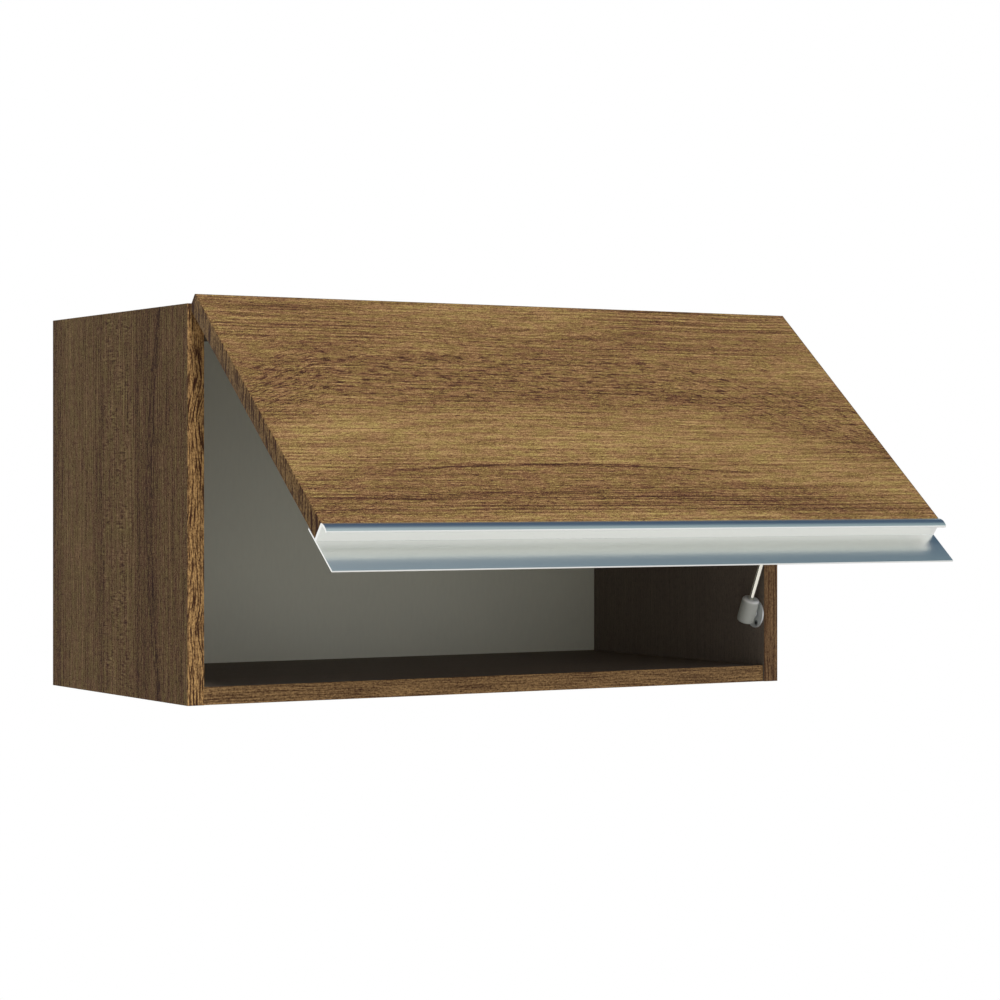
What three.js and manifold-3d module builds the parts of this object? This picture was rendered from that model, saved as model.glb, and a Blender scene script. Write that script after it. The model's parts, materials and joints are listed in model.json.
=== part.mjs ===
// Lift-up wall cabinet: a carcass of laminated chipboard, a flap on two wrap-around hinges, an
// aluminium handle profile along the flap's lower edge and one gas strut at the right-hand side.
//
// Millimetres, +Z up. The origin is the middle of the back board's rear face, which lies on the
// wall. The flap faces -Y and stands fully open, where the extended strut stops it.
import * as THREE from "three";
import { mergeVertices } from "three/addons/utils/BufferGeometryUtils.js";
import Module from "manifold-3d";

const wasm = await Module();
wasm.setup();

// ---------- Carcass ----------
const CABINET_WIDTH = 600;
const CABINET_HEIGHT = 331;
const SIDE_DEPTH = 290; // front to rear edge of a side, its edge band included
const BOARD = 15; // sides, top and bottom
const BACK_THICKNESS = 3; // hardboard, laid on the rear edges
const BACK_INSET = 4; // the hardboard's edge inside the carcass's outer faces
const LEVEL_SETBACK = 2; // top's and bottom's front edges behind the sides' front edges
const EDGE_BAND = 0.5;

// ---------- Flap ----------
const FLAP_SIDE_REVEAL = 1.5; // carcass left showing at each side
const FLAP_TOP_REVEAL = 1.5; // carcass left showing above the closed flap
const FLAP_GAP = 2.5; // closed flap's inner face in front of the sides' front edges
const FLAP_THICKNESS = 15;
const FLAP_HEIGHT = 290; // wooden panel, without the handle profile
const FLAP_OPEN_DEG = 50.28; // turned from closed to fully open
const GLUE_LINE = 0.2; // between the flap's core and its edge bands

// ---------- Hinges ----------
const HINGE_INSET = 75; // hinge's middle from the carcass's outer side
const HINGE_WIDTH = 40;
const HINGE_SHEET = 1.2;
const PIN_DEPTH = 1.9; // pin's axis inside the flap's inner face
const PIN_DROP = 3.5; // pin's axis below the flap's top edge
const PIN_RADIUS = 1.25;
const PIN_HEAD_RADIUS = 2;
const PIN_HEAD_THICKNESS = 0.9;
const KNUCKLE_RADIUS = 2.5;
const MIDDLE_KNUCKLE = 15.6; // length of the carcass leaf's knuckle
const KNUCKLE_PLAY = 0.4; // between knuckles, along the pin
const MORTISE_PLAY = 0.4; // round the knuckles, in the flap's top edge
const CARCASS_LEAF_LENGTH = 38;
const FLAP_LEAF_LENGTH = 36; // below the pin's axis
const LEAF_SCREW_SPREAD = 24; // the two screws of a leaf, across the hinge
const CARCASS_LEAF_SCREW_Y = 24; // behind the leaf's front
const FLAP_LEAF_SCREW_Z = 25; // below the pin's axis

// ---------- Handle profile ----------
const HANDLE_SEAT = 3; // web that the flap's lower edge sits on
const HANDLE_LIP_REACH = 2.4; // lip in front of the flap's outer face
const HANDLE_LIP_SHOULDER = 2.8; // height of the lip's rounded shoulder
const HANDLE_LIP_DROP = 11.6; // lip's tip below the flap's lower edge
const HANDLE_LIP_WALL = 1.8;
const HANDLE_FLANGE_WALL = 1.5;
const HANDLE_FLANGE_RISE = 12.6; // flange above the flap's lower edge, behind the flap
const HANDLE_FLANGE_DROP = 37.4; // flange below the flap's lower edge
const HANDLE_FILLET = 1; // between the web and the flange
const HANDLE_SCREW_RISE = 6.5; // screws above the flap's lower edge
const HANDLE_SCREW_SPACING = 400;

// ---------- Gas strut ----------
const STRUT_OFFSET = 9.6; // strut's axis from the right side's inner face
const STUD_FROM_FRONT = 14; // ball on the side: behind the carcass's front
const STUD_HEIGHT = 62.5; // ball on the side: above the carcass's underside
const EYE_DROP = 105; // upper pivot below the flap's top edge
const EYE_STANDOFF = 12; // upper pivot behind the flap's inner face
const BALL_RADIUS = 3.8;
const BALL_PLAY = 0.4;
const STUD_NECK_RADIUS = 2;
const PLATE_RADIUS = 13.2;
const PLATE_THICKNESS = 1.2;
const PLATE_CHAMFER = 0.3;
const PLATE_SCREW_CIRCLE = 9; // screws' distance from the plate's middle
const PLATE_SCREW_TILT_DEG = 15; // line of the screws from upright, top backwards
const SOCKET_RADIUS = 8.1; // lower socket
const SOCKET_TAIL = 8; // lower socket beyond the ball's middle
const SOCKET_EDGE = 1.75; // rounding of a socket's ends
const ROD_SOCKET_HEAD = 16; // socket towards the rod
const ROD_SOCKET_DISH = 1; // hollow round the rod in the socket's end
const ROD_RADIUS = 2.2;
const ROD_IN_SOCKET = 7;
const ROD_IN_TUBE = 25; // when the strut is fully out
const PISTON_RADIUS = 5.6;
const PISTON_LENGTH = 8;
const TUBE_RADIUS = 7.5;
const TUBE_WALL = 1.2;
const TUBE_GUIDE = 10; // length of the guide and seal that the rod slides in
const TUBE_CLOSED_GAP = 9; // tube to rod socket when the flap is shut
const TUBE_SOCKET_HEAD = 14; // upper socket, from its pivot down to the tube
const TUBE_SOCKET_RADIUS = 7; // slimmer, to pass the flap
const TUBE_SOCKET_TAIL = 7;
const BRACKET_SHEET = 2;
const BRACKET_HALF_HEIGHT = 15;
const BRACKET_FOOT = 17; // width of the foot that is screwed to the flap
const BRACKET_EAR_RADIUS = 6.5;
const BRACKET_BOSS_HEIGHT = 2;
const BRACKET_SCREW_SPREAD = 18;

// ---------- Carcass fittings ----------
const BOLT_FROM_FRONT = 37; // front fittings from the carcass's front
const BOLT_FROM_REAR = 60; // rear fittings from the sides' rear edges
const CAM_DISTANCE = 24; // cam's middle from the side's inner face
const CAM_RADIUS = 7.5;
const CAM_FLOOR = 3; // board left under a cam
const CAM_SLOT = [8, 1.6, 1.5]; // length, width and depth of each arm of the cross recess
const BOLT_HEAD_RADIUS = 3.2;
const BOLT_HEAD_LENGTH = 2.6;
const BOLT_NECK_RADIUS = 1.9;
const BOLT_NECK_LENGTH = 6;
const BOLT_SHANK_RADIUS = 3.3;
const BOLT_THREAD_RADIUS = 3;
const BOLT_POINT = 1; // chamfer at the thread's end
const BOLT_COVER = 4; // board left between the thread and the side's outer face

// ---------- Hangers ----------
const HANGER_SHEET = 1.5;
const HANGER_LEG = 32; // both legs of the angle
const HANGER_HEIGHT = 30;
const HANGER_BELOW_TOP = 3; // under the top panel
const HANGER_HOLE_RADIUS = 3.5; // for the wall screw
const HANGER_HOLE_FROM_CORNER = 19;
const BACK_HOLE_RADIUS = 5; // the wall screw's hole in the hardboard

// ---------- Screws ----------
const SCREW_RADIUS = 1.75;
const SCREW_HEAD_RADIUS = 2.8;
const SCREW_HEAD_HEIGHT = 1.6;
const SCREW_TIP = 2.5; // length of the point
const SCREW_TIP_RADIUS = 0.5; // at the point's blunt end
const SCREW_SLOT = [3.2, 0.8, 0.8]; // length, width and depth of each arm of the cross recess
const SCREW_COVER = 3; // board left beyond a screw's tip

const CLEARANCE = 0.3; // round fasteners, and between pieces that are fitted together
const SCREW_SIDES = 8; // sides of a screw or bolt
const CAM_SIDES = 16;
const ROUND = 12; // sides of a small cylinder
const LARGE_ROUND = 24; // sides of a cylinder over 10 mm across
const BALL_STEPS = 5; // rings of faces on the ball
const OVERCUT = 1; // how far a cutting shape stands clear of the face it opens

// ---------- Places worked out from the sizes ----------
const FRONT_Y = -(SIDE_DEPTH + BACK_THICKNESS);
const REAR_Y = -BACK_THICKNESS; // rear edges of the boards
const LEVEL_FRONT_Y = FRONT_Y + LEVEL_SETBACK;
const TOP_Z = CABINET_HEIGHT / 2;
const SIDE_X = CABINET_WIDTH / 2; // outer face
const INNER_X = SIDE_X - BOARD;
const FLAP_WIDTH = CABINET_WIDTH - 2 * FLAP_SIDE_REVEAL;
const PIVOT_Y = FRONT_Y - FLAP_GAP - PIN_DEPTH;
const PIVOT_Z = TOP_Z - FLAP_TOP_REVEAL - PIN_DROP;
const OPEN_ANGLE = THREE.MathUtils.degToRad(FLAP_OPEN_DEG);

// The flap's own frame: closed, measured from the hinge pin.
const FLAP_INNER_Y = PIN_DEPTH;
const FLAP_OUTER_Y = PIN_DEPTH - FLAP_THICKNESS;
const FLAP_TOP_Z = PIN_DROP;
const FLAP_BOTTOM_Z = PIN_DROP - FLAP_HEIGHT;

// ---------- Materials ----------
const standard = (color, roughness, metalness) =>
  new THREE.MeshStandardMaterial({ color, roughness, metalness });
const WOOD = standard(0x7d5f3c, 0.55, 0);
const WOOD_EDGE = standard(0x83623c, 0.5, 0);
const HARDBOARD = standard(0x66665c, 0.7, 0);
const ALUMINIUM = standard(0xc6c8c2, 0.35, 1);
const STEEL = standard(0xb9bcc0, 0.3, 1);
const ZINC = standard(0xa3a7a8, 0.4, 1);
const BLACK_TUBE = standard(0x2b2c2e, 0.35, 0.2);
const GREY_PLASTIC = standard(0x787a76, 0.5, 0);

// ---------- Shapes ----------
// A box that fills three ranges.
function bar([x0, x1], [y0, y1], [z0, z1]) {
  return new THREE.BoxGeometry(x1 - x0, y1 - y0, z1 - z0).translate(
    (x0 + x1) / 2,
    (y0 + y1) / 2,
    (z0 + z1) / 2,
  );
}

// A solid of revolution about Z, from [radius, height] points.
function turned(profile, sides = ROUND) {
  const points = profile.map(([radius, height]) => new THREE.Vector2(radius, height));
  return new THREE.LatheGeometry(points, sides).rotateX(Math.PI / 2);
}

// A cylinder along Z between two heights.
function drum(radius, low, high, sides = ROUND) {
  return turned([[0, low], [radius, low], [radius, high], [0, high]], sides);
}

// A [y, z] outline drawn out along X, with its middle at x = 0.
function drawn(outline, length) {
  const shape = new THREE.Shape(outline.map(([y, z]) => new THREE.Vector2(y, z)));
  const across = new THREE.Matrix4().makeBasis(
    new THREE.Vector3(0, 1, 0),
    new THREE.Vector3(0, 0, 1),
    new THREE.Vector3(1, 0, 0),
  );
  return new THREE.ExtrudeGeometry(shape, { depth: length, bevelEnabled: false })
    .translate(0, 0, -length / 2)
    .applyMatrix4(across);
}

// Points on a quarter ellipse from `start` to `end`, bulging towards `corner`.
function rounded(start, corner, end, steps) {
  return Array.from({ length: steps + 1 }, (_, i) => {
    const angle = (Math.PI / 2) * (i / steps);
    const fromStart = 1 - Math.sin(angle);
    const fromEnd = 1 - Math.cos(angle);
    return [0, 1].map(
      (k) => corner[k] + (start[k] - corner[k]) * fromStart + (end[k] - corner[k]) * fromEnd,
    );
  });
}

function solidOf(geometry) {
  const bare = new THREE.BufferGeometry();
  bare.setAttribute("position", geometry.getAttribute("position"));
  bare.setIndex(geometry.index);
  const merged = mergeVertices(bare);
  return new wasm.Manifold(
    new wasm.Mesh({
      numProp: 3,
      vertProperties: merged.getAttribute("position").array,
      triVerts: new Uint32Array(merged.index.array),
    }),
  );
}

function geometryOf(solid) {
  const { vertProperties, triVerts } = solid.getMesh();
  const geometry = new THREE.BufferGeometry();
  geometry.setAttribute("position", new THREE.BufferAttribute(vertProperties, 3));
  geometry.setIndex(new THREE.BufferAttribute(triVerts, 1));
  geometry.computeVertexNormals();
  return geometry;
}

const joined = (first, ...others) =>
  geometryOf(others.reduce((sum, other) => sum.add(solidOf(other)), solidOf(first)));

const cutAway = (base, ...cutters) =>
  geometryOf(cutters.reduce((rest, cutter) => rest.subtract(solidOf(cutter)), solidOf(base)));

// ---------- Pieces ----------
function piece(name, geometry, material, position = [0, 0, 0], rotation = [0, 0, 0]) {
  const mesh = new THREE.Mesh(geometry, material);
  mesh.name = name;
  mesh.position.set(...position);
  mesh.rotation.set(...rotation);
  return mesh;
}

// A piece that takes its own room out of others: `room` is its shape with the clearance round it.
function fastener(name, { geometry, room }, material, position, rotation) {
  const mesh = piece(name, geometry, material, position, rotation);
  mesh.userData.room = room;
  return mesh;
}

// Cuts the room of each fastener out of a piece that lies in the same group.
function drill(target, ...fasteners) {
  target.updateMatrix();
  const intoTarget = target.matrix.clone().invert();
  const rooms = fasteners.map((mesh) => {
    mesh.updateMatrix();
    return mesh.userData.room.clone().applyMatrix4(mesh.matrix).applyMatrix4(intoTarget);
  });
  target.geometry = cutAway(target.geometry, ...rooms);
}

// The two arms of a cross recess, cut down from z = 0.
function crossRecess([length, width, depth]) {
  const arm = (along, across) =>
    bar([-along / 2, along / 2], [-across / 2, across / 2], [-depth, OVERCUT]);
  return [arm(length, width), arm(width, length)];
}

// A countersunk screw: its head is flush at z = 0 and looks along +Z.
function screw(length) {
  const shape = (play) => [
    [0, -length - play],
    [SCREW_TIP_RADIUS + play, -length - play],
    [SCREW_RADIUS + play, -length + SCREW_TIP],
    [SCREW_RADIUS + play, -SCREW_HEAD_HEIGHT],
    [SCREW_HEAD_RADIUS + play, 0],
  ];
  const body = turned([...shape(0), [0, 0]], SCREW_SIDES);
  const mouth = SCREW_HEAD_RADIUS + CLEARANCE;
  return {
    geometry: cutAway(body, ...crossRecess(SCREW_SLOT)),
    room: turned([...shape(CLEARANCE), [mouth, OVERCUT], [0, OVERCUT]], SCREW_SIDES),
  };
}

// Which way a fastener looks: turns its +Z into the named direction.
const LOOKS = {
  down: [Math.PI, 0, 0],
  back: [-Math.PI / 2, 0, 0],
  left: [0, -Math.PI / 2, 0],
  right: [0, Math.PI / 2, 0],
};

// ---------- Carcass boards ----------
function sidePanel(name, side) {
  const depth = SIDE_DEPTH - EDGE_BAND;
  const middle = [side * (SIDE_X - BOARD / 2), REAR_Y - depth / 2, 0];
  return piece(name, new THREE.BoxGeometry(BOARD, depth, CABINET_HEIGHT), WOOD, middle);
}

function levelPanel(name, level) {
  const depth = REAR_Y - LEVEL_FRONT_Y - EDGE_BAND;
  const middle = [0, REAR_Y - depth / 2, level * (TOP_Z - BOARD / 2)];
  return piece(name, new THREE.BoxGeometry(2 * INNER_X, depth, BOARD), WOOD, middle);
}

function backPanel() {
  const width = CABINET_WIDTH - 2 * BACK_INSET;
  const height = CABINET_HEIGHT - 2 * BACK_INSET;
  const sheet = new THREE.BoxGeometry(width, BACK_THICKNESS, height);
  return piece("back_panel", sheet, HARDBOARD, [0, -BACK_THICKNESS / 2, 0]);
}

function carcassEdgeBands() {
  const upright = new THREE.BoxGeometry(BOARD, EDGE_BAND, CABINET_HEIGHT);
  const level = new THREE.BoxGeometry(2 * INNER_X, EDGE_BAND, BOARD);
  const sideX = SIDE_X - BOARD / 2;
  const sideY = FRONT_Y + EDGE_BAND / 2;
  const levelY = LEVEL_FRONT_Y + EDGE_BAND / 2;
  const levelZ = TOP_Z - BOARD / 2;
  return [
    piece("left_edge_band", upright, WOOD_EDGE, [-sideX, sideY, 0]),
    piece("right_edge_band", upright.clone(), WOOD_EDGE, [sideX, sideY, 0]),
    piece("top_edge_band", level, WOOD_EDGE, [0, levelY, levelZ]),
    piece("bottom_edge_band", level.clone(), WOOD_EDGE, [0, levelY, -levelZ]),
  ];
}

// ---------- Cam fittings ----------
// A cam disc: its face is flush at z = 0 and its bolt comes in along +X.
function cam() {
  const height = BOARD - CAM_FLOOR - CLEARANCE;
  const disc = drum(CAM_RADIUS, -height, 0, CAM_SIDES);
  const reach = CAM_RADIUS + BOLT_HEAD_RADIUS + OVERCUT;
  const bore = drum(BOLT_HEAD_RADIUS + CLEARANCE, 0, reach, SCREW_SIDES)
    .rotateY(Math.PI / 2)
    .translate(-BOLT_HEAD_RADIUS - CLEARANCE, 0, -BOARD / 2);
  return {
    geometry: cutAway(disc, bore, ...crossRecess(CAM_SLOT)),
    room: drum(CAM_RADIUS + CLEARANCE, CAM_FLOOR - BOARD, OVERCUT, CAM_SIDES),
  };
}

// A connecting bolt along +Z: z = 0 is the cam's middle, and its thread ends in the side board.
function camBolt() {
  const headEnd = -BOLT_HEAD_RADIUS;
  const neckStart = headEnd + BOLT_HEAD_LENGTH;
  const shankStart = neckStart + BOLT_NECK_LENGTH;
  const threadEnd = CAM_DISTANCE + BOARD - BOLT_COVER;
  const pin = turned([
    [0, headEnd],
    [BOLT_HEAD_RADIUS, headEnd],
    [BOLT_HEAD_RADIUS, neckStart],
    [BOLT_NECK_RADIUS, neckStart],
    [BOLT_NECK_RADIUS, shankStart],
    [BOLT_SHANK_RADIUS, shankStart],
    [BOLT_SHANK_RADIUS, CAM_DISTANCE - CLEARANCE],
    [BOLT_THREAD_RADIUS, CAM_DISTANCE - CLEARANCE],
    [BOLT_THREAD_RADIUS, threadEnd - BOLT_POINT],
    [BOLT_THREAD_RADIUS - BOLT_POINT, threadEnd],
    [0, threadEnd],
  ], SCREW_SIDES);
  const inLevel = drum(BOLT_SHANK_RADIUS + CLEARANCE, 0, CAM_DISTANCE, SCREW_SIDES);
  const inSide = drum(BOLT_THREAD_RADIUS + CLEARANCE, 0, threadEnd + CLEARANCE, SCREW_SIDES);
  return { geometry: pin, room: joined(inLevel, inSide) };
}

// The fittings of one corner of the carcass, seen from the front: two cams and two bolts.
function cornerFittings(label, side, level) {
  const camX = side * (INNER_X - CAM_DISTANCE);
  const turn = side < 0 ? Math.PI : 0;
  const places = { front: FRONT_Y + BOLT_FROM_FRONT, rear: REAR_Y - BOLT_FROM_REAR };
  return Object.entries(places).map(([place, y]) => ({
    cam: fastener(`cam_${label}_${place}`, cam(), ZINC, [camX, y, level * TOP_Z],
      [level < 0 ? Math.PI : 0, 0, turn]),
    bolt: fastener(`bolt_${label}_${place}`, camBolt(), STEEL,
      [camX, y, level * (TOP_Z - BOARD / 2)], side < 0 ? LOOKS.left : LOOKS.right),
  }));
}

// ---------- Hangers ----------
// A steel angle in an upper rear corner: one leg on the side, the other on the hardboard. Its
// own frame has the corner at the origin.
function hanger(name, side) {
  const inwards = (distance) => [0, -side * distance].sort((a, b) => a - b);
  const height = [-HANGER_HEIGHT / 2, HANGER_HEIGHT / 2];
  const sideLeg = bar(inwards(HANGER_SHEET), [-HANGER_LEG, 0], height);
  const wallLeg = bar(inwards(HANGER_LEG), [-HANGER_SHEET, 0], height);
  const hole = drum(HANGER_HOLE_RADIUS, -OVERCUT, HANGER_SHEET + OVERCUT)
    .rotateX(Math.PI / 2)
    .translate(-side * HANGER_HOLE_FROM_CORNER, 0, 0);
  const middleZ = TOP_Z - BOARD - HANGER_BELOW_TOP - HANGER_HEIGHT / 2;
  const angle = cutAway(joined(sideLeg, wallLeg), hole);
  return piece(name, angle, ZINC, [side * INNER_X, REAR_Y, middleZ]);
}

function hangerScrew(name, side, bracket) {
  const position = [side * (INNER_X - HANGER_SHEET), REAR_Y - HANGER_HOLE_FROM_CORNER, bracket.position.z];
  const length = HANGER_SHEET + BOARD - SCREW_COVER;
  return fastener(name, screw(length), ZINC, position, side < 0 ? LOOKS.right : LOOKS.left);
}

// The hole for a wall screw, as a cutter beside the hardboard's own group.
function wallScrewHole(side, bracket) {
  const hole = new THREE.Object3D();
  hole.position.set(side * (INNER_X - HANGER_HOLE_FROM_CORNER), 0, bracket.position.z);
  hole.userData.room = drum(BACK_HOLE_RADIUS, -OVERCUT, BACK_THICKNESS + OVERCUT).rotateX(Math.PI / 2);
  return hole;
}

// ---------- Hinges ----------
const MIDDLE_HALF = MIDDLE_KNUCKLE / 2;
const LEAF_HALF = HINGE_WIDTH / 2;
const PIN_HOLE = PIN_RADIUS + CLEARANCE;

// A knuckle round the pin's axis, between two x values.
function knuckle([from, to], radius = KNUCKLE_RADIUS) {
  return drum(radius, from, to).rotateY(Math.PI / 2);
}

// Screwed under the top panel, it wraps up in front of the panel's edge and curls round the pin.
// Its own frame has the pin at the origin.
function carcassLeaf() {
  const under = TOP_Z - BOARD - PIVOT_Z; // top panel's underside
  const rear = LEVEL_FRONT_Y - PIVOT_Y; // top panel's front edge
  const front = rear - HINGE_SHEET;
  const width = [-LEAF_HALF, LEAF_HALF];
  const middle = [-MIDDLE_HALF, MIDDLE_HALF];
  const plate = bar(width, [front, front + CARCASS_LEAF_LENGTH], [under - HINGE_SHEET, under]);
  const web = bar(width, [front, rear], [under - HINGE_SHEET, under + BOARD / 2]);
  const riser = bar(middle, [front, rear], [under, KNUCKLE_RADIUS]);
  const tongue = bar(middle, [0, rear], [KNUCKLE_RADIUS - HINGE_SHEET, KNUCKLE_RADIUS]);
  const curl = joined(plate, web, riser, tongue, knuckle(middle));
  return cutAway(curl, knuckle([-LEAF_HALF, LEAF_HALF], PIN_HOLE));
}

// Screwed to the flap's inner face, with a knuckle at each end of the carcass leaf's one.
// Its own frame is the flap's, moved along X.
function flapLeaf() {
  const front = FLAP_INNER_Y + CLEARANCE;
  const rear = front + HINGE_SHEET;
  const inner = MIDDLE_HALF + KNUCKLE_PLAY;
  const bottom = -KNUCKLE_RADIUS;
  const plateTop = bottom - MORTISE_PLAY - CLEARANCE;
  const plate = bar([-LEAF_HALF, LEAF_HALF], [front, rear], [-FLAP_LEAF_LENGTH, plateTop]);
  const ends = [[-LEAF_HALF, -inner], [inner, LEAF_HALF]].flatMap((range) => [
    knuckle(range),
    bar(range, [0, rear], [bottom, bottom + HINGE_SHEET]),
    bar(range, [front, rear], [plateTop - HINGE_SHEET, bottom + HINGE_SHEET]),
  ]);
  const pinHole = knuckle([-LEAF_HALF - OVERCUT, LEAF_HALF + OVERCUT], PIN_HOLE);
  return cutAway(joined(plate, ...ends), pinHole);
}

function hingePin() {
  const end = LEAF_HALF + CLEARANCE;
  const tip = end + PIN_HEAD_THICKNESS;
  return turned([
    [0, -tip],
    [PIN_HEAD_RADIUS, -tip],
    [PIN_HEAD_RADIUS, -end],
    [PIN_RADIUS, -end],
    [PIN_RADIUS, end],
    [PIN_HEAD_RADIUS, end],
    [PIN_HEAD_RADIUS, tip],
    [0, tip],
  ]).rotateY(Math.PI / 2);
}

function carcassHalfHinge(label, x) {
  const leaf = piece(`${label}_hinge_carcass_leaf`, carcassLeaf(), STEEL, [x, PIVOT_Y, PIVOT_Z]);
  const pin = piece(`${label}_hinge_pin`, hingePin(), STEEL, [x, PIVOT_Y, PIVOT_Z]);
  const screwY = LEVEL_FRONT_Y - HINGE_SHEET + CARCASS_LEAF_SCREW_Y;
  const screwZ = TOP_Z - BOARD - HINGE_SHEET;
  const screws = [-1, 1].map((end, i) =>
    fastener(`${label}_hinge_carcass_screw_${i + 1}`, screw(HINGE_SHEET + BOARD - SCREW_COVER), ZINC,
      [x + (end * LEAF_SCREW_SPREAD) / 2, screwY, screwZ], LOOKS.down));
  drill(leaf, ...screws);
  return { leaf, pin, screws };
}

function flapHalfHinge(label, x) {
  const leaf = piece(`${label}_hinge_flap_leaf`, flapLeaf(), STEEL, [x, 0, 0]);
  const head = FLAP_INNER_Y + CLEARANCE + HINGE_SHEET;
  const length = head - FLAP_INNER_Y + FLAP_THICKNESS - SCREW_COVER;
  const screws = [-1, 1].map((end, i) =>
    fastener(`${label}_hinge_flap_screw_${i + 1}`, screw(length), ZINC,
      [x + (end * LEAF_SCREW_SPREAD) / 2, head, -FLAP_LEAF_SCREW_Z], LOOKS.back));
  drill(leaf, ...screws);
  return { leaf, screws };
}

// The recess that the knuckles lie in, cut from the flap's top inner edge.
function hingeMortise(x) {
  const half = LEAF_HALF + CLEARANCE + PIN_HEAD_THICKNESS + MORTISE_PLAY;
  const deep = KNUCKLE_RADIUS + MORTISE_PLAY;
  const mortise = new THREE.Object3D();
  mortise.position.x = x;
  mortise.userData.room = bar(
    [-half, half],
    [-deep, FLAP_INNER_Y + OVERCUT],
    [-deep, FLAP_TOP_Z + OVERCUT],
  );
  return mortise;
}

// ---------- Flap ----------
function flapPanel() {
  const trim = EDGE_BAND + GLUE_LINE;
  return piece(
    "flap_panel",
    bar(
      [trim - FLAP_WIDTH / 2, FLAP_WIDTH / 2 - trim],
      [FLAP_OUTER_Y, FLAP_INNER_Y],
      [FLAP_BOTTOM_Z, FLAP_TOP_Z - trim],
    ),
    WOOD,
  );
}

function flapEdgeBands() {
  const half = FLAP_WIDTH / 2;
  const depth = [FLAP_OUTER_Y, FLAP_INNER_Y];
  const height = [FLAP_BOTTOM_Z, FLAP_TOP_Z - EDGE_BAND - GLUE_LINE];
  return [
    piece("flap_top_edge_band", bar([-half, half], depth, [FLAP_TOP_Z - EDGE_BAND, FLAP_TOP_Z]), WOOD_EDGE),
    piece("flap_left_edge_band", bar([-half, EDGE_BAND - half], depth, height), WOOD_EDGE),
    piece("flap_right_edge_band", bar([half - EDGE_BAND, half], depth, height), WOOD_EDGE),
  ];
}

// The handle's section as [outwards, downwards] from the flap's lower outer corner.
function handleSection() {
  const seatTop = CLEARANCE;
  const seatUnder = seatTop + HANDLE_SEAT;
  const lipInner = HANDLE_LIP_REACH - HANDLE_LIP_WALL;
  const nose = HANDLE_LIP_WALL / 2;
  const flangeFront = -FLAP_THICKNESS - CLEARANCE;
  const flangeRear = flangeFront - HANDLE_FLANGE_WALL;
  const shoulder = seatTop + HANDLE_LIP_SHOULDER;
  const tip = HANDLE_LIP_DROP;
  return [
    ...rounded([0, seatTop], [HANDLE_LIP_REACH, seatTop], [HANDLE_LIP_REACH, shoulder], 5),
    ...rounded([HANDLE_LIP_REACH, tip - 2 * nose], [HANDLE_LIP_REACH, tip], [lipInner + nose, tip], 4),
    ...rounded([lipInner + nose, tip], [lipInner, tip], [lipInner, tip - nose], 2).slice(1),
    [lipInner, seatUnder],
    ...rounded(
      [flangeFront + HANDLE_FILLET, seatUnder],
      [flangeFront, seatUnder],
      [flangeFront, seatUnder + HANDLE_FILLET],
      3,
    ),
    [flangeFront, HANDLE_FLANGE_DROP],
    [flangeRear, HANDLE_FLANGE_DROP],
    [flangeRear, -HANDLE_FLANGE_RISE],
    [flangeFront, -HANDLE_FLANGE_RISE],
    [flangeFront, seatTop],
  ];
}

function handleProfile() {
  const outline = handleSection().map(([outwards, downwards]) => [-outwards, -downwards]);
  return piece("handle_profile", drawn(outline, FLAP_WIDTH), ALUMINIUM, [0, FLAP_OUTER_Y, FLAP_BOTTOM_Z]);
}

function handleScrews() {
  const head = FLAP_INNER_Y + CLEARANCE + HANDLE_FLANGE_WALL;
  const length = head - FLAP_INNER_Y + FLAP_THICKNESS - SCREW_COVER;
  const z = FLAP_BOTTOM_Z + HANDLE_SCREW_RISE;
  return [["left", -1], ["right", 1]].map(([label, side]) =>
    fastener(`handle_screw_${label}`, screw(length), ZINC,
      [(side * HANDLE_SCREW_SPACING) / 2, head, z], LOOKS.back));
}

// ---------- Gas strut ----------
const STRUT_X = INNER_X - STRUT_OFFSET;
const BALL_HOLE = BALL_RADIUS + BALL_PLAY;
const stud = new THREE.Vector2(FRONT_Y + STUD_FROM_FRONT, STUD_HEIGHT - TOP_Z);
const eyeInFlap = new THREE.Vector2(FLAP_INNER_Y + EYE_STANDOFF, FLAP_TOP_Z - EYE_DROP);
const pivot = new THREE.Vector2(PIVOT_Y, PIVOT_Z);

// The upper pivot in [y, z] when the flap has turned by an angle from closed.
const eyeAt = (angle) => eyeInFlap.clone().rotateAround(new THREE.Vector2(), -angle).add(pivot);
const openStrut = eyeAt(OPEN_ANGLE).sub(stud);
const STRUT_LENGTH = openStrut.length();
const STRUT_STROKE = STRUT_LENGTH - eyeAt(0).sub(stud).length();
const STRUT_LEAN = Math.atan2(-openStrut.x, openStrut.y); // from upright, forwards

// The strut's own frame: the ball on the side at the origin, +Z towards the upper pivot.
const TUBE_START = ROD_SOCKET_HEAD + TUBE_CLOSED_GAP + STRUT_STROKE;
const TUBE_END = STRUT_LENGTH - TUBE_SOCKET_HEAD;
const TUBE_BORE = TUBE_RADIUS - TUBE_WALL;

// A round steel plate with a ball riveted to it, standing out along +Z.
function studPlate() {
  const neck = STRUT_OFFSET - Math.sqrt(BALL_RADIUS ** 2 - STUD_NECK_RADIUS ** 2);
  const start = Math.asin(STUD_NECK_RADIUS / BALL_RADIUS);
  const ball = Array.from({ length: BALL_STEPS - 1 }, (_, i) => {
    const angle = start + ((Math.PI - start) * (i + 1)) / BALL_STEPS;
    return [BALL_RADIUS * Math.sin(angle), STRUT_OFFSET - BALL_RADIUS * Math.cos(angle)];
  });
  return turned([
    [0, 0],
    [PLATE_RADIUS, 0],
    [PLATE_RADIUS, PLATE_THICKNESS - PLATE_CHAMFER],
    [PLATE_RADIUS - PLATE_CHAMFER, PLATE_THICKNESS],
    [STUD_NECK_RADIUS, PLATE_THICKNESS],
    [STUD_NECK_RADIUS, neck],
    ...ball,
    [0, STRUT_OFFSET + BALL_RADIUS],
  ], LARGE_ROUND);
}

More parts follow.
